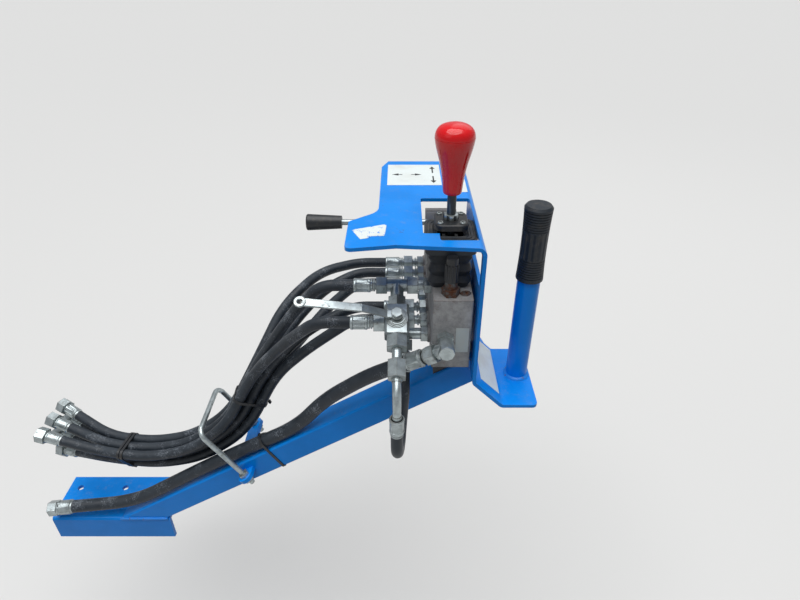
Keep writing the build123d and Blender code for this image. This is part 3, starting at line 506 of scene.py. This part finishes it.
def moulded_rubber(finish):
    """Soft black rubber of the boot and grip, greyed by dust in patches, most on its upper faces."""
    sheet = NodeSheet("Moulded rubber")
    patch = sheet.ramp(sheet.noise(60.0, 7.0, 0.7), 0.40, 0.70)
    dusty = sheet.times(sheet.math("ADD", sheet.upward(0.0, 1.0), 0.25), patch)
    base = sheet.mix(sheet.times(dusty, 0.5 * finish.dust_amount), finish.rubber, finish.dust)
    sheet.bump(sheet.noise(1300.0, 2.0), 0.00012, 0.5)
    return sheet.finish(Base_Color=base, Roughness=0.55)


def fluted_rubber(finish):
    """Rubber of the hand grip, fluted lengthwise between its two sets of rings."""
    sheet = NodeSheet("Fluted rubber")
    low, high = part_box("hand_grip")
    middle = (low + high) / 2
    place = sheet.add("ShaderNodeSeparateXYZ", {0: sheet.place}).outputs
    across = sheet.math("SUBTRACT", place["X"], middle.x)
    back = sheet.math("SUBTRACT", place["Y"], middle.y)
    wave = sheet.math("SINE", sheet.times(sheet.math("ARCTAN2", back, across), GRIP_FLUTES))
    above = sheet.ramp(place["Z"], low.z + GRIP_FOOT, low.z + GRIP_FOOT + GRIP_FADE)
    below = sheet.ramp(place["Z"], high.z - GRIP_HEAD, high.z - GRIP_HEAD + GRIP_FADE, 1.0, 0.0)
    flutes = sheet.times(wave, sheet.times(above, below))
    dusty = sheet.times(sheet.ramp(sheet.noise(70.0, 7.0, 0.7), 0.45, 0.75), 0.5 * finish.dust_amount)
    base = sheet.mix(dusty, finish.rubber, finish.dust)
    sheet.bump(sheet.math("ADD", flutes, sheet.times(sheet.noise(1300.0, 2.0), 0.1)), 0.0012, 0.8)
    return sheet.finish(Base_Color=base, Roughness=0.5, Specular_IOR_Level=0.35)


def black_plastic(finish):
    """Dull black plastic of caps and ties."""
    sheet = NodeSheet("Black plastic")
    dusty = sheet.ramp(sheet.noise(90.0, 6.0), 0.50, 0.78, 0.0, 0.12)
    base = sheet.mix(dusty, finish.plastic, finish.dust)
    sheet.bump(sheet.noise(800.0, 2.0), 0.0001, 0.3)
    return sheet.finish(Base_Color=base, Roughness=0.42)


def gloss_knob(finish):
    """Glossy knob with light handling scratches and a little dust."""
    sheet = NodeSheet("Gloss knob")
    scratches = sheet.ramp(sheet.streaks((500, 500, 60)), 0.68, 0.74, 0.0, 0.2)
    base = sheet.mix(scratches, finish.knob, toned(finish.knob, 1.15, 0.02))
    smudge = sheet.ramp(sheet.noise(50.0, 5.0), 0.45, 0.7, 0.14, 0.34)
    sheet.bump(sheet.noise(300.0, 1.0), 0.00008, 0.15)
    return sheet.finish(Base_Color=base, Roughness=smudge, Specular_IOR_Level=0.35, Coat_Weight=0.2)


def worn_label(finish, name, tint, kept=FILM_KEPT):
    """Film of a sticker, scratched through to the paint where little of it is kept."""
    sheet = NodeSheet(name)
    torn = sheet.ramp(sheet.noise(75.0, 9.0, 0.78), kept - 0.02, kept + 0.02)
    lines = sheet.ramp(sheet.streaks((900, 60, 900), 2.0, 0.5), 0.72, 0.76)
    gone = sheet.math("MAXIMUM", torn, lines)
    stained = sheet.mix(sheet.ramp(sheet.noise(22.0, 5.0), 0.45, 0.8, 0.0, 0.3), tint, finish.dust)
    base = sheet.mix(gone, stained, finish.paint)
    sheet.bump(gone, 0.0002, -0.4)
    return sheet.finish(Base_Color=base, Roughness=0.5)


def weld_metal(finish):
    """Painted weld bead with ripples."""
    sheet = NodeSheet("Weld bead")
    base = sheet.mix(sheet.ramp(sheet.noise(110.0, 6.0), 0.58, 0.66), finish.paint, finish.rust)
    sheet.bump(sheet.noise(380.0, 3.0), 0.0008, 0.7)
    return sheet.finish(Base_Color=base, Roughness=0.42, Coat_Weight=0.15)


def floor_paint():
    """Plain pale floor, which throws less light back than it shows."""
    sheet = NodeSheet("Pale floor")
    path = sheet.add("ShaderNodeLightPath").outputs
    seen = sheet.math("MAXIMUM", path["Is Glossy Ray"], path["Is Transmission Ray"])
    seen = sheet.math("MAXIMUM", path["Is Camera Ray"], seen)
    base = sheet.mix(seen, FLOOR_LIGHT, FLOOR_SHOWN)
    return sheet.finish(Base_Color=base, Roughness=0.9)


def give(obj, material):
    """Put one material on a whole object."""
    obj.data.materials.clear()
    obj.data.materials.append(material)


def make_piece(name, shape, material, body="station"):
    """New object from a bmesh, its faces turned outwards, riding on a body."""
    bmesh.ops.recalc_face_normals(shape, faces=shape.faces)
    mesh = bpy.data.meshes.new(name)
    shape.to_mesh(mesh)
    shape.free()
    obj = bpy.data.objects.new(name, mesh)
    bpy.context.scene.collection.objects.link(obj)
    give(obj, material)
    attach(obj, body)
    return obj


def shade_smooth(shape, angle_deg=35.0):
    """Smooth faces that meet at less than an angle."""
    for face in shape.faces:
        face.smooth = True
    for edge in shape.edges:
        edge.smooth = edge.calc_face_angle(math.pi) < math.radians(angle_deg)


def frame_matrix(origin, axis, side=None):
    """Matrix whose Z runs along an axis, and whose X lies nearest a side direction."""
    z = Vector(axis).normalized()
    guide = Vector(side) if side else (Vector((1, 0, 0)) if abs(z.x) < 0.9 else Vector((0, 1, 0)))
    x = (guide - z * guide.dot(z)).normalized()
    y = z.cross(x)
    turn = Matrix((x, y, z)).transposed().to_4x4()
    return Matrix.Translation(Vector(origin)) @ turn


def add_turned(shape, profile, matrix, steps, press=None):
    """Solid from radius and height pairs, spun about Z, pressed, and placed by the matrix."""
    known = set(shape.verts)
    verts = [shape.verts.new((radius, 0, height)) for radius, height in profile]
    starts_on_axis = profile[0][0] == 0
    after = verts[1:] if starts_on_axis else verts[1:] + verts[:1]
    edges = [shape.edges.new(pair) for pair in zip(verts, after)]
    bmesh.ops.spin(
        shape, geom=verts + edges, axis=(0, 0, 1), cent=(0, 0, 0), angle=2 * math.pi, steps=steps,
        use_merge=True,
    )
    fresh = [vert for vert in shape.verts if vert not in known]
    if press:
        for vert in fresh:
            press(vert)
    poles = [vert for vert in fresh if vert.co.xy.length < MERGE]
    bmesh.ops.transform(shape, matrix=matrix, verts=fresh)
    bmesh.ops.remove_doubles(shape, verts=poles, dist=MERGE)


def add_ferrule(shape, foot, aim, hose_radius, sizes):
    """Ferrule crimped on a hose: two collars, and ribs between the pressed flats."""
    outside = hose_radius + sizes.ferrule_wall
    waist = outside - 0.0003
    end = sizes.ferrule_length
    pressed = set()

    def press(vert):
        ribbed = math.cos(sizes.crimp_ribs * math.atan2(vert.co.y, vert.co.x)) > CRIMP_SHARE
        between = CRIMP_START < vert.co.z < end - CRIMP_STOP
        if between and vert.co.xy.length > hose_radius and not ribbed:
            vert.co.xy *= 1 - sizes.crimp_depth / outside
            pressed.add(vert)

    profile = (
        (hose_radius * 0.8, 0.0), (outside * 0.86, 0.0), (outside * 0.88, 0.0032), (outside, 0.0045),
        (outside, 0.0075), (waist, 0.0085), (waist, end - 0.0050), (outside, end - 0.0040),
        (outside, end - 0.0012), (outside - 0.0008, end), (hose_radius * 0.96, end),
    )
    add_turned(shape, profile, frame_matrix(foot, aim), FINE_STEPS, press)
    # The pressed flats take the second material: dirt, and painted shade in their recesses
    for face in shape.faces:
        if pressed.issuperset(face.verts):
            face.material_index = 1


def add_collar(shape, middle, aim, sizes):
    """Round collar on a fitting."""
    radius, half = sizes.collar_radius, sizes.collar_width / 2
    profile = (
        (radius * 0.7, -half), (radius * 0.94, -half), (radius, -half * 0.5), (radius, half * 0.5),
        (radius * 0.94, half), (radius * 0.7, half),
    )
    add_turned(shape, profile, frame_matrix(middle, aim), SMALL_STEPS)


def add_skirt(shape, centre, levels, squareness=7.0):
    """Closed rubber band through rounded squares, given as half width and height pairs."""
    known = set(shape.verts)
    ring = bmesh.ops.create_circle(shape, segments=72, radius=1.0)["verts"]
    for vert in ring:
        vert.co /= (abs(vert.co.x) ** squareness + abs(vert.co.y) ** squareness) ** (1 / squareness)
    edges = list({edge for vert in ring for edge in vert.link_edges})
    size = 1.0
    for index, (half_width, height) in enumerate((*levels, levels[0])):
        if index:
            made = bmesh.ops.extrude_edge_only(shape, edges=edges)["geom"]
            ring = [item for item in made if isinstance(item, bmesh.types.BMVert)]
            edges = [item for item in made if isinstance(item, bmesh.types.BMEdge)]
        bmesh.ops.scale(shape, vec=(half_width / size, half_width / size, 1), verts=ring)
        bmesh.ops.translate(shape, vec=(0, 0, height - ring[0].co.z), verts=ring)
        size = half_width
    fresh = [vert for vert in shape.verts if vert not in known]
    bmesh.ops.translate(shape, vec=(centre.x, centre.y, 0), verts=fresh)
    bmesh.ops.remove_doubles(shape, verts=fresh, dist=MERGE)


def add_prism(shape, sides, radius, height, matrix, bevel=PRISM_BEVEL):
    """Straight prism such as a bolt head, standing on the matrix's plane."""
    made = bmesh.ops.create_cone(
        shape, cap_ends=True, segments=sides, radius1=radius, radius2=radius, depth=height,
        matrix=matrix @ Matrix.Translation((0, 0, height / 2)),
    )
    edges = list({edge for vert in made["verts"] for edge in vert.link_edges})
    bmesh.ops.bevel(
        shape, geom=edges, offset=bevel, offset_type="OFFSET", segments=2, profile=0.5, material=-1,
        affect="EDGES",
    )


def add_plate(shape, corners, thickness):
    """Thin flat plate from its corners, thickened along its normal."""
    face = shape.faces.new([shape.verts.new(corner) for corner in corners])
    face.normal_update()
    step = face.normal * thickness
    made = bmesh.ops.extrude_face_region(shape, geom=[face], use_keep_orig=True)
    verts = [item for item in made["geom"] if isinstance(item, bmesh.types.BMVert)]
    bmesh.ops.translate(shape, verts=verts, vec=step)
    face.normal_flip()


def add_flat(shape, corners, height):
    """Level patch of ink, facing up whichever way its corners run."""
    if (corners[1] - corners[0]).cross(corners[2] - corners[1]).z < 0:
        corners = corners[::-1]
    add_plate(shape, corners, height)


def add_arrows(shape, start, end, width, height):
    """Two arrows that point apart along one line, lying on a level sheet."""
    start, end = Vector(start), Vector(end)
    middle = (start + end) / 2
    along = (end - start).normalized() * width
    side = Vector((-along.y, along.x, 0))
    for tip, way in ((start, -along), (end, along)):
        neck = tip - way * ARROW_HEAD
        tail = middle + way * ARROW_GAP
        add_flat(shape, [tail - side / 2, neck - side / 2, neck + side / 2, tail + side / 2], height)
        add_flat(shape, [tip, neck - side * 2, neck + side * 2], height)


def add_bead(shape, points, radius):
    """Weld bead along straight runs, one flattened drop beside the next."""
    for first, last in zip(points, points[1:]):
        first, last = Vector(first), Vector(last)
        count = max(2, round((last - first).length / (radius * 0.75)))
        for index in range(count + 1):
            place = Matrix.Translation(first.lerp(last, index / count))
            bmesh.ops.create_icosphere(shape, subdivisions=2, radius=radius, matrix=place)


def add_lamp(scene, name, kind, place, power, size):
    """Lamp that aims at the part."""
    lamp = bpy.data.lights.new(name, kind)
    lamp.energy = power
    setattr(lamp, "angle" if kind == "SUN" else "size", size)
    light = bpy.data.objects.new(name, lamp)
    light.location = place
    light.rotation_euler = (LOOK_AT - Vector(place)).to_track_quat("-Z", "Y").to_euler()
    scene.collection.objects.link(light)


def add_camera(scene):
    """Camera that looks down on the part."""
    lens = bpy.data.cameras.new("Camera")
    lens.lens = CAMERA_LENS
    lens.sensor_width = CAMERA_SENSOR
    camera = bpy.data.objects.new("Camera", lens)
    camera.location = CAMERA_PLACE
    camera.rotation_euler = (math.radians(90 - CAMERA_PITCH_DEG), 0, 0)
    scene.collection.objects.link(camera)
    scene.camera = camera


def pale_sky():
    """World that shows paler than the light it throws."""
    world = bpy.data.worlds.new("Sky")
    world.use_nodes = True
    nodes, links = world.node_tree.nodes, world.node_tree.links
    background = nodes["Background"]
    background.inputs["Color"].default_value = SKY_COLOUR
    rays = nodes.new("ShaderNodeLightPath").outputs
    strength = background.inputs["Strength"]
    for ray, extra in SKY_SHOWN:
        more = nodes.new("ShaderNodeMath")
        more.operation = "MULTIPLY_ADD"
        more.inputs[1].default_value = extra
        links.new(rays[ray], more.inputs[0])
        links.new(more.outputs[0], strength)
        strength = more.inputs[2]
    strength.default_value = SKY_LIGHT
    return world


class STATION_OT_stage(bpy.types.Operator):
    """Floor, lights, world and camera"""

    bl_idname = "station.stage"
    bl_label = "Stage"

    def execute(self, context):
        scene = context.scene
        shape = bmesh.new()
        place = Matrix.Translation((*FLOOR_MIDDLE, GROUND))
        bmesh.ops.create_grid(shape, x_segments=2, y_segments=2, size=FLOOR_REACH, matrix=place)
        mesh = bpy.data.meshes.new("Floor")
        shape.to_mesh(mesh)
        shape.free()
        floor = bpy.data.objects.new("Floor", mesh)
        scene.collection.objects.link(floor)
        give(floor, floor_paint())
        for row in LAMPS:
            add_lamp(scene, *row)
        scene.world = pale_sky()
        add_camera(scene)
        scene.view_settings.view_transform = "Standard"
        return {"FINISHED"}


class STATION_OT_finishes(bpy.types.Operator):
    """Materials on the solids"""

    bl_idname = "station.finishes"
    bl_label = "Finishes"

    def execute(self, context):
        finish = context.scene.station_finish
        groups = (
            (PAINTED, painted_steel), (CASTINGS, rough_casting), (PLATED, zinc_plated),
            (HOSES, hose_rubber), (("boot", "bank_pad"), moulded_rubber), (("hand_grip",), fluted_rubber),
            (("relief_cap", "side_lever_grip", "ties", "swash_plate"), black_plastic),
            (("relief_valve", "bank_spacers"), rusty_steel),
            (("joystick_mount", "joystick_cross", "joystick_stick"), blackened_steel),
        )
        for names, build in groups:
            material = build(finish)
            for name in names:
                give(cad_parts[name], material)
        return {"FINISHED"}


class STATION_OT_labels(bpy.types.Operator):
    """Blank and arrow stickers on the guard, and the tag on the bank"""

    bl_idname = "station.labels"
    bl_label = "Labels"

    def execute(self, context):
        finish = context.scene.station_finish
        sizes = context.scene.station_sizes
        thick = sizes.sticker_thick
        white = worn_label(finish, "White film", finish.sticker)
        torn = worn_label(finish, "Torn film", finish.sticker, TORN_KEPT)
        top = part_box("guard")[1].z + INK
        for name, corners in TOP_STICKERS:
            shape = bmesh.new()
            add_plate(shape, [(x, y, top) for x, y in corners], thick)
            film = torn if name == "tongue_sticker" else white
            make_piece(name, shape, film)
        slope = bmesh.new()
        add_plate(slope, SLOPE_STICKER, thick)
        make_piece("slope_sticker", slope, white)
        arrows = bmesh.new()
        for start, end in ARROWS:
            add_arrows(arrows, (*start, top + thick), (*end, top + thick), sizes.arrow_width, INK)
        make_piece("sticker_arrows", arrows, black_plastic(finish))
        strip = bmesh.new()
        add_plate(strip, [(x, y, top + thick) for x, y in WARM_STRIP], INK)
        warm = worn_label(finish, "Warm strip", finish.strip)
        make_piece("sticker_strip", strip, warm)
        tag = bmesh.new()
        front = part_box("valve_inlet")[0].y - INK
        add_plate(tag, [(x, front, z) for x, z in TAG], thick)
        grey = worn_label(finish, "Grey tag", finish.plating)
        make_piece("bank_tag", tag, grey)
        return {"FINISHED"}


class STATION_OT_fasteners(bpy.types.Operator):
    """Screws on the swash plate, and bolts in the guard's side"""

    bl_idname = "station.fasteners"
    bl_label = "Fasteners"

    def execute(self, context):
        sizes = context.scene.station_sizes
        material = zinc_plated(context.scene.station_finish)
        low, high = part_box("swash_plate")
        middle = (low + high) / 2
        radius = sizes.screw_across / 2
        rise = sizes.screw_height
        head = (
            (0.0, 0.0004), (radius * 0.45, 0.0004), (radius * 0.52, rise), (radius * 0.85, rise),
            (radius, rise * 0.6), (radius, -SUNK), (0.0, -SUNK),
        )
        screws = bmesh.new()
        for across in (-sizes.screw_spread, sizes.screw_spread):
            for back in (-sizes.screw_spread, sizes.screw_spread):
                place = (middle.x + across, middle.y + back, high.z)
                add_turned(screws, head, Matrix.Translation(place), SCREW_STEPS)
        stick_foot = Matrix.Translation((middle.x, middle.y, high.z))
        add_prism(screws, 6, sizes.nut_across / 2, sizes.nut_height, stick_foot)
        shade_smooth(screws)
        make_piece("swash_screws", screws, material, "joystick")
        bolts = bmesh.new()
        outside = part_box("hand_post")[0].x - SIDE_TO_POST
        washer_radius = sizes.bolt_across * WASHER_SHARE
        for y, z in GUARD_BOLTS:
            matrix = frame_matrix((outside, y, z), (1, 0, 0))
            add_prism(bolts, SCREW_STEPS, washer_radius, sizes.washer_height, matrix, WASHER_BEVEL)
            add_prism(bolts, 6, sizes.bolt_across / math.sqrt(3), sizes.bolt_height, matrix, BOLT_BEVEL)
        shade_smooth(bolts)
        make_piece("guard_bolts", bolts, material)
        return {"FINISHED"}


class STATION_OT_ferrules(bpy.types.Operator):
    """Crimped ferrules in place of the plain ones"""

    bl_idname = "station.ferrules"
    bl_label = "Ferrules"

    def execute(self, context):
        sizes = context.scene.station_sizes
        finish = context.scene.station_finish
        material = zinc_plated(finish)
        grime_and_shade = zinc_grime_and_shade(finish)
        for name, node, rows in (
            ("crimped_ferrules", "hose_ferrules", FITTED_FERRULES),
            ("crimped_end_ferrules", "end_ferrules", END_FERRULES),
        ):
            shape = bmesh.new()
            for foot, aim, hose_radius in rows:
                add_ferrule(shape, foot, aim, hose_radius, sizes)
            shade_smooth(shape)
            piece = make_piece(name, shape, material)
            # Second material: dirt and painted shade for the pressed flats
            piece.data.materials.append(grime_and_shade)
            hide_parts(node)
        return {"FINISHED"}


class STATION_OT_fittings(bpy.types.Operator):
    """Collars on the fittings, forged elbow, and rings round the valve's stem"""

    bl_idname = "station.fittings"
    bl_label = "Fittings"

    def execute(self, context):
        sizes = context.scene.station_sizes
        finish = context.scene.station_finish
        material = zinc_plated(finish)
        collars = bmesh.new()
        for foot, aim, _ in FITTED_FERRULES:
            add_collar(collars, Vector(foot) - Vector(aim) * COLLAR_BACK, aim, sizes)
        x, z = ADAPTER_COLLAR
        for y in ADAPTER_ROWS:
            add_collar(collars, (x, y, z), (-1, 0, 0), sizes)
        shade_smooth(collars)
        make_piece("fitting_collars", collars, material)
        elbow = bmesh.new()
        for sides, radius, foot, aim, reach in ELBOW:
            add_prism(elbow, sides, radius, reach, frame_matrix(foot, aim), ELBOW_BEVEL)
        shade_smooth(elbow, 25)
        make_piece("forged_elbow", elbow, material)
        rings = bmesh.new()
        add_turned(rings, GLAND_RINGS, frame_matrix(*STEM), FINE_STEPS)
        bmesh.ops.recalc_face_normals(rings, faces=rings.faces)
        # The rings' sides take the second material: dirt, and painted shade of the grooves
        for face in rings.faces:
            if abs(face.normal.dot(Vector(STEM[1]))) < RING_FLATNESS:
                face.material_index = 1
        shade_smooth(rings)
        gland = make_piece("gland_rings", rings, material)
        gland.data.materials.append(zinc_grime_and_shade(finish))
        return {"FINISHED"}


class STATION_OT_plugs(bpy.types.Operator):
    """Screwed plugs in the inlet and in the bank's sections"""

    bl_idname = "station.plugs"
    bl_label = "Plugs"

    def execute(self, context):
        sizes = context.scene.station_sizes
        finish = context.scene.station_finish
        inlet = bmesh.new()
        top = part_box("valve_inlet")[1].z
        add_turned(inlet, INLET_PLUG, Matrix.Translation((*PLUG_PLACE, top)), SMALL_STEPS)
        shade_smooth(inlet)
        make_piece("inlet_plug", inlet, rusty_steel(finish))
        caps = bmesh.new()
        low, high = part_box("valve_sections")
        for y in TOP_PLUG_ROWS:
            add_turned(caps, INLET_PLUG, Matrix.Translation((PLUG_COLUMN, y, high.z)), SMALL_STEPS)
        for y in LOW_PLUG_ROWS:
            place = frame_matrix((PLUG_COLUMN, y, low.z), (0, 0, -1))
            add_prism(caps, 6, sizes.plug_across / 2, sizes.plug_height, place)
        shade_smooth(caps)
        make_piece("section_plugs", caps, zinc_plated(finish))
        return {"FINISHED"}


class STATION_OT_knob(bpy.types.Operator):
    """Pear-shaped knob with its parting line, in place of the plain one"""

    bl_idname = "station.knob"
    bl_label = "Knob"

    def execute(self, context):
        low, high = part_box("joystick_knob")
        middle = (low + high) / 2
        shape = bmesh.new()
        add_turned(shape, KNOB, Matrix.Translation((middle.x, middle.y, low.z)), KNOB_STEPS)
        shade_smooth(shape, 40)
        material = gloss_knob(context.scene.station_finish)
        knob = make_piece("knob", shape, material, "joystick")
        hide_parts("joystick_knob")
        return {"FINISHED"}


class STATION_OT_boot(bpy.types.Operator):
    """Rubber skirt that closes the boot round the stick, and the ridges on its collar"""

    bl_idname = "station.boot"
    bl_label = "Boot"

    def execute(self, context):
        low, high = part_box("boot")
        middle = (low + high) / 2
        shape = bmesh.new()
        for levels in (BOOT_SKIRT, *BOOT_RIDGES):
            add_skirt(shape, middle, levels)
        shade_smooth(shape, 60)
        rubber = moulded_rubber(context.scene.station_finish)
        make_piece("boot_skirt", shape, rubber)
        moving = bmesh.new()
        add_skirt(moving, middle, SWASH_SKIRT)
        shade_smooth(moving, 60)
        make_piece("swash_skirt", moving, rubber, "joystick")
        return {"FINISHED"}


class STATION_OT_welds(bpy.types.Operator):
    """Weld beads where the arm, guard, post and foot meet"""

    bl_idname = "station.welds"
    bl_label = "Welds"

    def execute(self, context):
        radius = context.scene.station_sizes.weld_reach
        material = weld_metal(context.scene.station_finish)
        shape = bmesh.new()
        low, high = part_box("hand_post")
        middle = (low + high) / 2
        reach = (high.x - low.x) / 2
        outside = reach + radius
        ring = ((reach, 0), (outside, 0.0002), (reach + radius * 0.75, radius * 0.7), (reach, radius))
        add_turned(shape, ring, Matrix.Translation((middle.x, middle.y, low.z)), FINE_STEPS)
        for points in WELD_RUNS:
            add_bead(shape, points, radius * 0.8)
        shade_smooth(shape, 60)
        make_piece("weld_beads", shape, material)
        return {"FINISHED"}


class STATION_PT_panel(bpy.types.Panel):
    """Steps and settings of the control station"""

    bl_idname = "STATION_PT_panel"
    bl_label = "Control Station"
    bl_space_type = "VIEW_3D"
    bl_region_type = "UI"
    bl_category = "Station"

    def draw(self, context):
        for step in STEPS:
            self.layout.operator(step.bl_idname)
        for group in (context.scene.station_finish, context.scene.station_sizes):
            box = self.layout.box()
            for key in group.__annotations__:
                box.prop(group, key)


STEPS = (
    STATION_OT_stage, STATION_OT_finishes, STATION_OT_labels, STATION_OT_fasteners, STATION_OT_ferrules,
    STATION_OT_fittings, STATION_OT_plugs, STATION_OT_knob, STATION_OT_boot, STATION_OT_welds,
)
CLASSES = (StationFinish, StationSizes, *STEPS, STATION_PT_panel)


def register():
    for cls in CLASSES:
        bpy.utils.register_class(cls)
    bpy.types.Scene.station_finish = PointerProperty(type=StationFinish)
    bpy.types.Scene.station_sizes = PointerProperty(type=StationSizes)


def unregister():
    del bpy.types.Scene.station_sizes
    del bpy.types.Scene.station_finish
    for cls in reversed(CLASSES):
        bpy.utils.unregister_class(cls)


def main():
    """Register the classes and run every step."""
    register()
    bpy.ops.station.stage()
    bpy.ops.station.finishes()
    bpy.ops.station.labels()
    bpy.ops.station.fasteners()
    bpy.ops.station.ferrules()
    bpy.ops.station.fittings()
    bpy.ops.station.plugs()
    bpy.ops.station.knob()
    bpy.ops.station.boot()
    bpy.ops.station.welds()
    bpy.context.view_layer.update()


if __name__ == "__main__":
    main()
